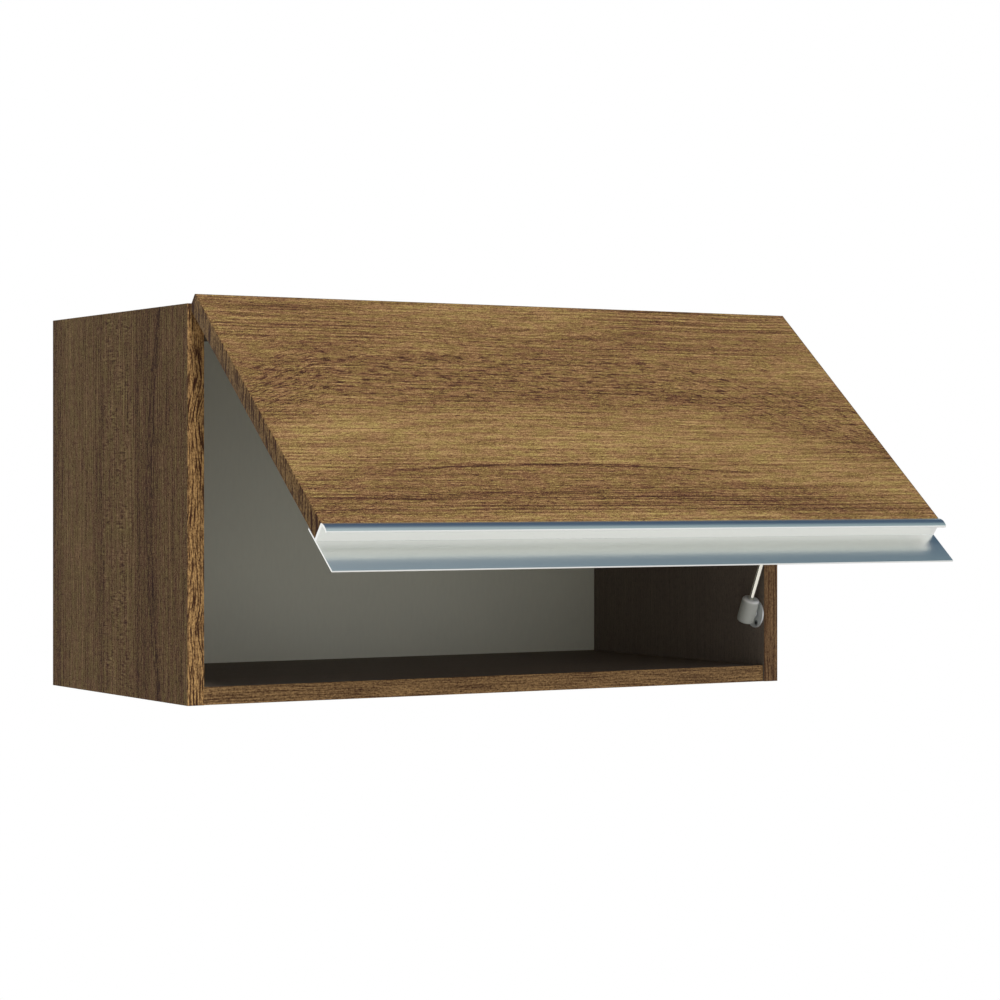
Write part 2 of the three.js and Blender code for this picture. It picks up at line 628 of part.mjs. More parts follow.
function sideStud() {
  const plate = piece("strut_stud_plate", studPlate(), STEEL, [INNER_X, stud.x, stud.y], LOOKS.left);
  const tilt = THREE.MathUtils.degToRad(PLATE_SCREW_TILT_DEG);
  const screws = [-1, 1].map((end, i) =>
    fastener(`strut_plate_screw_${i + 1}`, screw(PLATE_THICKNESS + BOARD - SCREW_COVER), ZINC, [
      INNER_X - PLATE_THICKNESS,
      stud.x + end * PLATE_SCREW_CIRCLE * Math.sin(tilt),
      stud.y + end * PLATE_SCREW_CIRCLE * Math.cos(tilt),
    ], LOOKS.left));
  drill(plate, ...screws);
  return { plate, screws };
}

// The hollow for a ball at the origin, open along +X or -X.
function ballHole(side) {
  return drum(BALL_HOLE, -BALL_HOLE, SOCKET_RADIUS + OVERCUT).rotateY((side * Math.PI) / 2);
}

function rodSocket() {
  const edge = SOCKET_EDGE;
  const top = ROD_SOCKET_HEAD;
  const hole = ROD_RADIUS + CLEARANCE;
  const shell = turned([
    [0, -SOCKET_TAIL],
    [SOCKET_RADIUS - edge, -SOCKET_TAIL],
    [SOCKET_RADIUS - edge / 4, edge / 2 - SOCKET_TAIL],
    [SOCKET_RADIUS, edge * 1.5 - SOCKET_TAIL],
    [SOCKET_RADIUS, top - 1.5 * edge],
    [SOCKET_RADIUS - edge / 4, top - edge / 2],
    [SOCKET_RADIUS - edge, top],
    [hole + edge / 2, top],
    [hole, top - ROD_SOCKET_DISH],
    [0, top - ROD_SOCKET_DISH],
  ], LARGE_ROUND);
  const seat = drum(hole, top - ROD_IN_SOCKET - CLEARANCE, top + OVERCUT);
  return piece("strut_rod_socket", cutAway(shell, seat, ballHole(1)), GREY_PLASTIC);
}

function strutRod() {
  const start = ROD_SOCKET_HEAD - ROD_IN_SOCKET;
  const end = TUBE_START + ROD_IN_TUBE;
  const rod = turned([
    [0, start],
    [ROD_RADIUS, start],
    [ROD_RADIUS, end - PISTON_LENGTH],
    [PISTON_RADIUS, end - PISTON_LENGTH],
    [PISTON_RADIUS, end],
    [0, end],
  ]);
  return piece("strut_rod", rod, STEEL);
}

function strutTube() {
  const edge = TUBE_WALL / 2;
  const hole = ROD_RADIUS + CLEARANCE;
  const shell = turned([
    [0, TUBE_END - TUBE_WALL],
    [TUBE_BORE, TUBE_END - TUBE_WALL],
    [TUBE_BORE, TUBE_START + TUBE_GUIDE],
    [hole, TUBE_START + TUBE_GUIDE],
    [hole, TUBE_START],
    [TUBE_RADIUS - edge, TUBE_START],
    [TUBE_RADIUS, TUBE_START + edge],
    [TUBE_RADIUS, TUBE_END - edge],
    [TUBE_RADIUS - edge, TUBE_END],
    [0, TUBE_END],
  ], LARGE_ROUND);
  return piece("strut_tube", shell, BLACK_TUBE);
}

function tubeSocket() {
  const edge = SOCKET_EDGE;
  const start = TUBE_END + CLEARANCE;
  const end = STRUT_LENGTH + TUBE_SOCKET_TAIL;
  const shell = turned([
    [0, start],
    [TUBE_SOCKET_RADIUS - edge, start],
    [TUBE_SOCKET_RADIUS, start + edge],
    [TUBE_SOCKET_RADIUS, end - edge * 1.5],
    [TUBE_SOCKET_RADIUS - edge / 4, end - edge / 2],
    [TUBE_SOCKET_RADIUS - edge, end],
    [0, end],
  ], LARGE_ROUND);
  const hollow = ballHole(-1).translate(0, 0, STRUT_LENGTH);
  return piece("strut_tube_socket", cutAway(shell, hollow), GREY_PLASTIC);
}

// An angle on the flap's inner face. Its ear stands beside the tube's socket, on the side away
// from the cabinet's wall, and its boss ends just short of the socket.
function flapBracket() {
  const boss = STRUT_X - TUBE_SOCKET_RADIUS - CLEARANCE;
  const earRight = boss - BRACKET_BOSS_HEIGHT;
  const ear = [earRight - BRACKET_SHEET, earRight];
  const foot = [earRight - BRACKET_FOOT, earRight];
  const seat = FLAP_INNER_Y + CLEARANCE;
  const middle = eyeInFlap.y;
  const plate = bar(foot, [seat, seat + BRACKET_SHEET],
    [middle - BRACKET_HALF_HEIGHT, middle + BRACKET_HALF_HEIGHT]);
  const stem = bar(ear, [seat, eyeInFlap.x],
    [middle - BRACKET_EAR_RADIUS, middle + BRACKET_EAR_RADIUS]);
  const round = (radius, [from, to]) =>
    drum(radius, from, to).rotateY(Math.PI / 2).translate(0, eyeInFlap.x, middle);
  const angle = joined(plate, stem, round(BRACKET_EAR_RADIUS, ear), round(BALL_RADIUS, [ear[0], boss]));
  const bracket = piece("strut_flap_bracket", angle, STEEL);
  const head = seat + BRACKET_SHEET;
  const length = head - FLAP_INNER_Y + FLAP_THICKNESS - SCREW_COVER;
  const screwX = (foot[0] + ear[0]) / 2;
  const screws = [-1, 1].map((end, i) =>
    fastener(`strut_bracket_screw_${i + 1}`, screw(length), ZINC,
      [screwX, head, middle + (end * BRACKET_SCREW_SPREAD) / 2], LOOKS.back));
  drill(bracket, ...screws);
  return { bracket, screws };
}

// ---------- Assembly ----------
const SIDES = [["left", -1], ["right", 1]];
const LEVELS = [["top", 1], ["bottom", -1]];

function carcass() {
  const group = new THREE.Group();
  const sides = { left: sidePanel("left_side_panel", -1), right: sidePanel("right_side_panel", 1) };
  const levels = { top: levelPanel("top_panel", 1), bottom: levelPanel("bottom_panel", -1) };
  const back = backPanel();
  group.add(...Object.values(sides), ...Object.values(levels), back, ...carcassEdgeBands());

  for (const [sideName, side] of SIDES) {
    for (const [levelName, level] of LEVELS) {
      for (const { cam, bolt } of cornerFittings(`${levelName}_${sideName}`, side, level)) {
        drill(levels[levelName], cam, bolt);
        drill(sides[sideName], bolt);
        group.add(cam, bolt);
      }
    }
    const bracket = hanger(`${sideName}_hanger`, side);
    const hangerFixing = hangerScrew(`${sideName}_hanger_screw`, side, bracket);
    drill(bracket, hangerFixing);
    drill(sides[sideName], hangerFixing);
    drill(back, wallScrewHole(side, bracket));

    const { leaf, pin, screws } = carcassHalfHinge(sideName, side * (SIDE_X - HINGE_INSET));
    drill(levels.top, ...screws);
    group.add(bracket, hangerFixing, leaf, pin, ...screws);
  }

  const { plate, screws } = sideStud();
  drill(sides.right, ...screws);
  group.add(plate, ...screws);
  return group;
}

function flap() {
  const group = new THREE.Group();
  group.position.set(0, PIVOT_Y, PIVOT_Z);
  group.rotation.x = -OPEN_ANGLE;
  const panel = flapPanel();
  const bands = flapEdgeBands();
  const handle = handleProfile();
  group.add(panel, ...bands, handle);

  for (const [sideName, side] of SIDES) {
    const x = side * (SIDE_X - HINGE_INSET);
    const { leaf, screws } = flapHalfHinge(sideName, x);
    drill(panel, hingeMortise(x), ...screws);
    drill(bands[0], hingeMortise(x));
    group.add(leaf, ...screws);
  }

  const { bracket, screws } = flapBracket();
  const handleFixings = handleScrews();
  drill(panel, ...screws, ...handleFixings);
  drill(handle, ...handleFixings);
  group.add(bracket, ...screws, ...handleFixings);
  return group;
}

function gasStrut() {
  const group = new THREE.Group();
  group.position.set(STRUT_X, stud.x, stud.y);
  group.rotation.x = STRUT_LEAN;
  group.add(rodSocket(), strutRod(), strutTube(), tubeSocket());
  return group;
}

const cabinet = new THREE.Group();
cabinet.add(carcass(), flap(), gasStrut());

export default cabinet;
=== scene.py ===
"""Looks of a lift-up wall cabinet: laminated boards, an aluminium handle profile and a gas strut.

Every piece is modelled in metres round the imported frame, with its place in its mesh.
"""

import json
import math
from contextlib import contextmanager

import bmesh
import bpy
from bpy.props import FloatProperty, FloatVectorProperty, PointerProperty
from mathutils import Matrix, Vector

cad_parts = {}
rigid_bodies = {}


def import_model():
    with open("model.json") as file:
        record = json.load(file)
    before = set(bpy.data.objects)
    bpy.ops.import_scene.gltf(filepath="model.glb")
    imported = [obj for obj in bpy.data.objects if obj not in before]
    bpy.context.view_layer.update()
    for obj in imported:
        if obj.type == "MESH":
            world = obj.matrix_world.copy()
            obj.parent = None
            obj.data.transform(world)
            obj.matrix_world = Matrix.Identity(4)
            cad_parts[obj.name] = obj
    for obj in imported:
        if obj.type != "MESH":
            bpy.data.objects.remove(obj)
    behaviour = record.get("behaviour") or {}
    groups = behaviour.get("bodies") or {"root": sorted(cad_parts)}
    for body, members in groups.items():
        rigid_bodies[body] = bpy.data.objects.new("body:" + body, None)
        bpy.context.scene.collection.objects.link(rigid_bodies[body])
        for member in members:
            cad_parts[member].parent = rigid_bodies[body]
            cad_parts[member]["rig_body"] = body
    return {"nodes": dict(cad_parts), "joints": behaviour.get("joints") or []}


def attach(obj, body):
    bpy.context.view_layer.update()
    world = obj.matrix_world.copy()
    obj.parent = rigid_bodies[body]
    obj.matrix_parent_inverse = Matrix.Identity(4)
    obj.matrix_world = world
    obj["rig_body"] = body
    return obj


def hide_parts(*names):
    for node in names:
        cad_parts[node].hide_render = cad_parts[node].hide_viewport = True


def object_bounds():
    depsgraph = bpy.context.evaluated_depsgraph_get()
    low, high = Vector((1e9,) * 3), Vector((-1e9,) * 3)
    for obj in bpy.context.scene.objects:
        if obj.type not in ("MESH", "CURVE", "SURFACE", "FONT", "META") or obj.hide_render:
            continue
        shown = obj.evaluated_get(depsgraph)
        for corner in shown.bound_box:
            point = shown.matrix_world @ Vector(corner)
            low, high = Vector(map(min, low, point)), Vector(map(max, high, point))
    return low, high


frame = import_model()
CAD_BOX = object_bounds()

bl_info = {
    "name": "Lift-up wall cabinet",
    "version": (1, 0, 0),
    "blender": (4, 5, 0),
    "location": "View3D > Sidebar > Cabinet",
    "description": "Models a wall cabinet whose flap lifts on a gas strut",
    "category": "Add Mesh",
}

MM = 0.001
X, Y, Z = (1, 0, 0), (0, 1, 0), (0, 0, 1)
SIDES = (("left", -1), ("right", 1))
LEVELS = (("top", 1), ("bottom", -1))
DEPTHS = ("front", "rear")


# ---------- Frames: the shut flap and the upright strut, and where they really are ----------
def joint(name):
    return next(j for j in frame["joints"] if j["name"] == name)


def aim(direction):
    """Turns +Z to a direction."""
    return Vector(Z).rotation_difference(Vector(direction)).to_matrix().to_4x4()


UPRIGHT = Matrix.Identity(4)
HINGE = joint("flap_hinge")
PIVOT = Vector(HINGE["pos_m"])
OPENING = math.radians(HINGE["range_deg"][1] - HINGE["range_deg"][0])
# Turns a flap piece that is modelled shut and upright to where the open flap is.
OPENED = (
    Matrix.Translation(PIVOT) @ Matrix.Rotation(OPENING, 4, Vector(HINGE["axis"]))
    @ Matrix.Translation(-PIVOT)
)
STRUT_AXIS = Vector(joint("strut_stroke")["axis"])
# Turns a strut piece that is modelled along Z, its lower ball at the origin, to where it is.
LEANING = Matrix.Translation(joint("strut_swing")["pos_m"]) @ aim(STRUT_AXIS)


def extent(node, placing=UPRIGHT):
    """A CAD node's lowest and highest corners, before `placing` turns it to its place."""
    back = placing.inverted()
    corners = [back @ vertex.co for vertex in frame["nodes"][node].data.vertices]
    return Vector(map(min, zip(*corners))), Vector(map(max, zip(*corners)))


# ---------- Colours ----------
def paint(red, green, blue):
    """A screen colour from 0 to 255 as the linear colour that a shader takes."""
    return tuple(
        c / 12.92 if c <= 0.04045 else ((c + 0.055) / 1.055) ** 2.4
        for c in (red / 255, green / 255, blue / 255)
    )


def colour(name, description, *screen):
    return FloatVectorProperty(
        name=name, description=description, subtype="COLOR", min=0, max=1, default=paint(*screen)
    )


def number(name, description, default, **more):
    return FloatProperty(name=name, description=description, default=default, **more)


def length(name, description, millimetres):
    return number(name, description, millimetres * MM, unit="LENGTH", min=0, precision=5)


# ---------- Settings ----------
class BoardSettings(bpy.types.PropertyGroup):
    """Boards, edge bands and the room round what is let into them."""

    arris: length("Board arris", "Rounding of a board's cut edges", 0.25)
    band_arris: length("Band arris", "Rounding of an edge band's outer edges", 0.4)
    play: length("Play", "Room round screws, bolts and cams", 0.3)
    mortise_play: length("Mortise play", "Room round the hinges' knuckles", 0.4)
    wall_hole: length("Wall screw hole", "Radius of the wall screws' holes in the back", 5)


class FittingSettings(bpy.types.PropertyGroup):
    """Cams, bolts and screws."""

    cam_rim: length("Cam rim", "Width of a cam's raised rim", 1.1)
    cam_arm: length("Cam slot", "Length of the cross slot in a cam", 8)
    cam_slot: length("Cam slot width", "Width of the cross slot in a cam", 1.6)
    bolt_neck: length("Bolt neck", "Radius of a bolt's neck", 1.9)
    bolt_core: length("Bolt core", "Radius of a bolt's thread at its root", 2.3)
    screw_core: length("Screw core", "Radius of a screw's thread at its root", 1.15)
    screw_shank: length("Screw shank", "Radius of a screw's thread", 1.75)
    head_height: length("Head height", "Height of a countersunk head", 1.6)
    recess: length("Recess", "Length of the cross recess in a screw's head", 3.3)
    recess_width: length("Recess width", "Width of the cross recess in a screw's head", 0.75)
    hexagon: length("Hexagon", "Radius of the hexagon in the heads of the plate's screws", 1.7)
    pitch: length("Pitch", "Pitch of the screws' threads", 1.4)


class HingeSettings(bpy.types.PropertyGroup):
    """Wrap-around hinges."""

    sheet: length("Sheet", "Thickness of the leaves", 1.2)
    bend: length("Bend", "Rounding of a leaf's outer bends", 1.6)
    knuckle: length("Knuckle", "Outer radius of the knuckles", 2.5)
    middle: length("Middle knuckle", "Length of the carcass leaf's knuckle", 15.6)
    knuckle_play: length("Knuckle play", "Room between two knuckles", 0.4)
    pin: length("Pin", "Radius of the hinge pin", 1.25)


class HangerSettings(bpy.types.PropertyGroup):
    """Steel angles that the cabinet hangs on."""

    sheet: length("Sheet", "Thickness of the steel", 1.5)
    corner: length("Corner", "Rounding of the legs' corners", 4)
    hole: length("Hole", "Radius of the wall screw's hole", 3.5)


class HandleSettings(bpy.types.PropertyGroup):
    """Section of the handle profile."""

    seat: length("Seat", "Thickness of the web under the flap", 3)
    seat_gap: length("Seat gap", "Room between the web and the flap", 0.3)
    lip_reach: length("Lip reach", "Lip's crown in front of the flap's face", 2.3)
    lip_radius: length("Lip radius", "Outer radius of the curved lip", 11.4)
    lip_crown: length("Lip crown", "Lip's foremost line below the flap's edge", 6.8)
    lip_drop: length("Lip drop", "Lip's tip below the flap's edge", 11.6)
    lip_wall: length("Lip wall", "Thickness of the lip", 1.8)
    flange_wall: length("Flange wall", "Thickness of the flange", 1.5)
    flange_rise: length("Flange rise", "Flange above the flap's edge", 12.6)
    flange_drop: length("Flange drop", "Flange below the flap's edge", 37.4)
    fillet: length("Fillet", "Rounding in the recess", 0.6)
    arris: length("Arris", "Rounding of the flange's edges", 0.35)


class StrutSettings(bpy.types.PropertyGroup):
    """Gas strut, its sockets and its two fixings."""

    rod: length("Rod", "Radius of the rod", 2.2)
    piston: length("Piston", "Radius of the piston in the tube", 5.6)
    piston_length: length("Piston length", "Length of the piston", 8)
    tube_wall: length("Tube wall", "Thickness of the tube", 1.2)
    guide: length("Guide", "Length of the guide that the rod slides in", 10)
    socket_round: length("Socket rounding", "Rounding of a socket's ends", 2.6)
    dish: length("Dish", "Hollow round the rod in the socket's end", 1)
    ball: length("Ball", "Radius of the stud's ball", 3.8)
    ball_play: length("Ball play", "Room between a ball and its socket", 0.4)
    neck: length("Neck", "Radius of the stud's neck", 2)
    plate: length("Plate", "Thickness of the stud's plate", 1.2)
    rim: length("Plate rim", "Width of the plate's turned edge", 0.7)
    bracket_sheet: length("Bracket sheet", "Thickness of the bracket", 2)
    ear: length("Ear", "Radius of the bracket's ear", 6.5)
    boss: length("Boss", "Height of the boss on the bracket's ear", 2)


class FinishSettings(bpy.types.PropertyGroup):
    """Colours of the finishes, as they look in plain light, but for the inside's, which is dulled
    as painted shade.
    """

    wood_dark: colour("Dark grain", "Darkest streaks of the wood decor", 58, 31, 22)
    wood_brown: colour("Brown grain", "Dark wood between the streaks", 100, 68, 41)
    wood_mid: colour("Wood", "Middle tone of the wood decor", 133, 101, 60)
    wood_gold: colour("Light grain", "Lightest lines of the wood decor", 186, 156, 96)
    # The inside colour is duller and greyer than the decor outside: painted shade for the shade
    # inside the carcass.
    inside: colour("Inside", "Dull decor of the faces inside the carcass", 112, 101, 90)
    band_dark: colour("Band flame", "Dark flames of the front edge bands", 62, 34, 18)
    band_gold: colour("Band ground", "Golden ground of the front edge bands", 198, 156, 98)
    back_face: colour("Back", "Painted face of the hardboard", 226, 227, 210)
    back_fibre: colour("Hardboard", "Bare rear face of the hardboard", 120, 84, 52)
    chip_light: colour("Light chips", "Light chips of the boards' bare edges", 196, 164, 118)
    chip_dark: colour("Dark chips", "Dark chips of the boards' bare edges", 122, 90, 56)
    aluminium: colour("Aluminium", "Anodised aluminium", 242, 243, 240)
    zinc: colour("Zinc", "Zinc plating", 186, 190, 194)
    nickel: colour("Nickel", "Nickel plating", 246, 250, 254)
    rod: colour("Rod", "Polished rod", 255, 248, 234)
    tube: colour("Tube", "Lacquered tube", 40, 41, 44)
    plastic: colour("Plastic", "Moulded sockets", 172, 174, 166)


class StudioSettings(bpy.types.PropertyGroup):
    """Camera, lamps, sky and floor."""

    lens: number("Lens", "Focal length in millimetres", 103.38)
    sensor: number("Sensor", "Sensor width in millimetres", 36)
    azimuth: number(
        "Azimuth", "Turn of the view from straight ahead", math.radians(30.713), subtype="ANGLE"
    )
    camera: FloatVectorProperty(
        name="Camera", description="Place of the camera", subtype="TRANSLATION",
        default=(-1.2961, -2.4444, 0.0154),
    )
    shift: FloatVectorProperty(
        name="Shift", description="Camera shift across and up", size=2, default=(0.0171, -0.0141)
    )
    key_direction: FloatVectorProperty(
        name="Key direction", description="From the cabinet to the key lamp", subtype="DIRECTION",
        default=(-0.16, -0.52, 0.84),
    )
    key_distance: length("Key distance", "From the cabinet to the key lamp", 3200)
    key_size: length("Key size", "Width of the key lamp", 700)
    key_power: number("Key power", "Power in watts", 61)
    ambient: number("Ambient", "Strength of the light from all round", 0.42)
    front_light: number("Front light", "Extra strength of the light from in front", 0.7)
    sky_top: colour("Sky", "Sky overhead, as metal reflects it", 34, 66, 96)
    sky_front: colour("Front sky", "Sky in front and above, as metal reflects it", 140, 162, 168)
    floor_drop: length("Floor drop", "Floor below the cabinet", 1450)
    floor_radius: length("Floor radius", "Radius of the round floor", 4500)
    floor: colour("Floor", "Pale floor", 255, 246, 230)
    floor_glow: number("Floor glow", "How much brighter the floor is seen than it is lit", 0.2)


SETTINGS = {
    "cabinet_boards": BoardSettings,
    "cabinet_fittings": FittingSettings,
    "cabinet_hinges": HingeSettings,
    "cabinet_hangers": HangerSettings,
    "cabinet_handle": HandleSettings,
    "cabinet_strut": StrutSettings,
    "cabinet_finishes": FinishSettings,
    "cabinet_studio": StudioSettings,
}


# ---------- Modelling ----------
def only(obj):
    """Makes obj the one selected and active object."""
    bpy.ops.object.select_all(action="DESELECT")
    obj.select_set(True)
    bpy.context.view_layer.objects.active = obj


@contextmanager
def editing(obj, kind="EDGE"):
    only(obj)
    bpy.ops.object.mode_set(mode="EDIT")
    bpy.ops.mesh.select_mode(type=kind)
    yield
    bpy.ops.object.mode_set(mode="OBJECT")


def pick(obj, kind, test):
    """Selects those verts, edges or faces of the mesh being edited that pass the test."""
    bpy.ops.mesh.select_all(action="DESELECT")
    mesh = bmesh.from_edit_mesh(obj.data)
    for part in getattr(mesh, kind):
        if test(part):
            part.select_set(True)
    bmesh.update_edit_mesh(obj.data)


def middle(edge):
    return (edge.verts[0].co + edge.verts[1].co) / 2


def near(a, b, play=2e-5):
    return abs(a - b) < play


def same(edge, axis):
    """Whether both ends of an edge have the same x, y or z."""
    return near(*(getattr(end.co, axis) for end in edge.verts))


def named(obj, name):
    obj.name = name
    obj.data.name = name
    return obj


def place(obj, placing):
    """Turns and moves the mesh, and leaves the object at the origin."""
    only(obj)
    obj.matrix_world = placing @ obj.matrix_world
    bpy.ops.object.transform_apply(location=True, rotation=True, scale=True)
    return obj


def block(name, low, high):
    """A box between two corners."""
    low, high = Vector(low), Vector(high)
    bpy.ops.mesh.primitive_cube_add(size=1, location=(low + high) / 2)
    bpy.ops.transform.resize(value=high - low)
    bpy.ops.object.transform_apply(location=True, rotation=True, scale=True)
    return named(bpy.context.object, name)


def drum(name, radius, start, end, sides=32):
    """A cylinder between two points."""
    start, end = Vector(start), Vector(end)
    bpy.ops.mesh.primitive_cylinder_add(vertices=sides, radius=radius, depth=(end - start).length)
    obj = named(bpy.context.object, name)
    return place(obj, Matrix.Translation((start + end) / 2) @ aim(end - start))


def extrude(step):
    bpy.ops.mesh.extrude_region_move(TRANSFORM_OT_translate={"value": step})


def face_outwards():
    bpy.ops.mesh.select_all(action="SELECT")
    bpy.ops.mesh.normals_make_consistent(inside=False)


def chain(name, points):
    """Edges from point to point, extruded one after another from a single vertex."""
    bpy.ops.mesh.primitive_plane_add(size=MM)
    obj = named(bpy.context.object, name)
    with editing(obj, "VERT"):
        bpy.ops.mesh.select_all(action="SELECT")
        bpy.ops.mesh.merge(type="CENTER")
        bpy.ops.transform.translate(value=points[0])
        for start, end in zip(points, points[1:]):
            extrude(Vector(end) - Vector(start))
    return obj


def turned(name, profile, steps=48):
    """A solid of revolution about Z, from (radius, height) points."""
    obj = chain(name, [(radius, 0, height) for radius, height in profile])
    with editing(obj, "VERT"):
        bpy.ops.mesh.select_all(action="SELECT")
        bpy.ops.mesh.spin(steps=steps, angle=2 * math.pi, center=(0, 0, 0), axis=Z)
        bpy.ops.mesh.select_all(action="SELECT")
        bpy.ops.mesh.remove_doubles(threshold=1e-6)
        face_outwards()
    return obj


def drawn(name, outline, start, run):
    """A closed (y, z) outline at x = start, drawn out along X by run."""
    obj = chain(name, [(start, y, z) for y, z in outline])
    ends = [obj.data.vertices[i].co.copy() for i in (0, -1)]
    with editing(obj, "VERT"):
        pick(obj, "verts", lambda v: any((v.co - end).length < 1e-7 for end in ends))
        bpy.ops.mesh.edge_face_add()
        bpy.ops.mesh.select_all(action="SELECT")
        bpy.ops.mesh.edge_face_add()
        extrude((run, 0, 0))
        face_outwards()
    return obj


def arc(centre, radius, start, end, steps):
    """(y, z) points on an arc, its angles in degrees from +Y towards +Z."""
    angles = [math.radians(start + (end - start) * i / steps) for i in range(steps + 1)]
    return [(centre[0] + radius * math.cos(a), centre[1] + radius * math.sin(a)) for a in angles]


def along_x(y, z):
    """A test for the edges that run along X through (y, z)."""
    return lambda e: near(middle(e).y, y) and near(middle(e).z, z)


def strip(name, path, start, run, bends, thickness):
    """Bent sheet metal: a (y, z) path drawn out along X, its corners rounded, then thickened."""
    obj = chain(name, [(start, y, z) for y, z in path])
    with editing(obj):
        bpy.ops.mesh.select_all(action="SELECT")
        extrude((run, 0, 0))
    for corner, radius in bends.items():
        round_off(obj, radius, along_x(*path[corner]), 5)
    modify(obj, "SOLIDIFY", thickness=thickness, offset=0, use_even_offset=True)
    with editing(obj, "FACE"):
        face_outwards()
    return obj


def modify(obj, kind, **settings):
    """Adds a modifier and applies it."""
    only(obj)
    bpy.ops.object.modifier_add(type=kind)
    modifier = obj.modifiers[-1]
    for key, value in settings.items():
        setattr(modifier, key, value)
    bpy.ops.object.modifier_apply(modifier=modifier.name)
    return obj


def combine(obj, operation, others):
    """Cuts the others out of obj, or joins them to it, and deletes them."""
    for other in others:
        modify(obj, "BOOLEAN", operation=operation, solver="EXACT", object=other)
        bpy.data.objects.remove(other)
    return obj


def cut(obj, *cutters):
    return combine(obj, "DIFFERENCE", cutters)


def join(obj, *others):
    return combine(obj, "UNION", others)


def soften(obj, width, sharper_than=30):
    """Rounds every edge that is sharper than some degrees."""
    return modify(obj, "BEVEL", width=width, segments=2, limit_method="ANGLE",
                  angle_limit=math.radians(sharper_than))


def round_off(obj, radius, test, segments=4):
    """Rounds the edges that pass the test."""
    with editing(obj):
        pick(obj, "edges", test)
        bpy.ops.mesh.bevel(offset=radius, segments=segments, affect="EDGES")
    return obj


def smooth(obj, degrees=35):
    only(obj)
    bpy.ops.object.shade_smooth_by_angle(angle=math.radians(degrees))
    return obj


def twin(obj, name):
    """A copy with its own mesh."""
    copy = obj.copy()
    copy.data = obj.data.copy()
    bpy.context.scene.collection.objects.link(copy)
    return named(copy, name)


def hand_over(obj, slot, *nodes):
    """Lets a finished piece stand for its CAD nodes and ride on their body."""
    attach(obj, frame["nodes"][nodes[0]]["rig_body"])
    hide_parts(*nodes)
    return obj


def wear(obj, *finishes):
    """Gives a piece its finishes, the first one on every face."""
    obj.data.materials.clear()
    for finish in finishes:
        obj.data.materials.append(FINISHES[finish])
    return wear_inside(obj, 0, lambda face: True)


def wear_inside(obj, index, test):
    """Gives the faces that pass the test another of the piece's finishes."""
    for face in obj.data.polygons:
        if test(face):
            face.material_index = index
    return obj


def deliver(obj, finish, node, placing=UPRIGHT):
    """Smooths a piece of one finish, turns it to its place and hands it over."""
    place(smooth(obj), placing)
    return hand_over(wear(obj, finish), SLOTS.get(finish, "edge_band"), node)


# ---------- Shader maths ----------
def sums(operation, turned_round=False):
    """A method of Value that adds a Math node."""
    def method(self, other=0.5):
        pair = (other, self) if turned_round else (self, other)
        return self.shader.add("ShaderNodeMath", {"operation": operation}, dict(enumerate(pair)))
    return method


class Value:
    """A shader's number, which can be used in sums: each sum adds a Math node."""

    def __init__(self, shader, socket):
        self.shader = shader
        self.socket = socket

    __add__ = __radd__ = sums("ADD")
    __sub__ = sums("SUBTRACT")
    __rsub__ = sums("SUBTRACT", turned_round=True)
    __mul__ = __rmul__ = sums("MULTIPLY")
    __truediv__ = sums("DIVIDE")
    __abs__ = sums("ABSOLUTE")
    at_least = sums("MAXIMUM")
    at_most = sums("MINIMUM")
    sine = sums("SINE")
    exponent = sums("EXPONENT")

    def other(self, output):
        """Another output of the same node."""
        return Value(self.shader, self.socket.node.outputs[output])

    def bell(self, centre, width):
        """1 at the centre, and close to 0 two widths away from it."""
        away = (self - centre) / width
        return (away * away * -1.0).exponent()

    def rise(self, start, end):
        """A smooth step from 0 at the start to 1 at the end."""
        return self.shader.add(
            "ShaderNodeMapRange", {"interpolation_type": "SMOOTHSTEP"},
            {"Value": self, "From Min": start, "From Max": end},
        )

    def follow(self, *stops):
        """A number that follows a few (place, number) stops."""
        return self.shader.ramp(self, [(spot, (value, value, value)) for spot, value in stops])


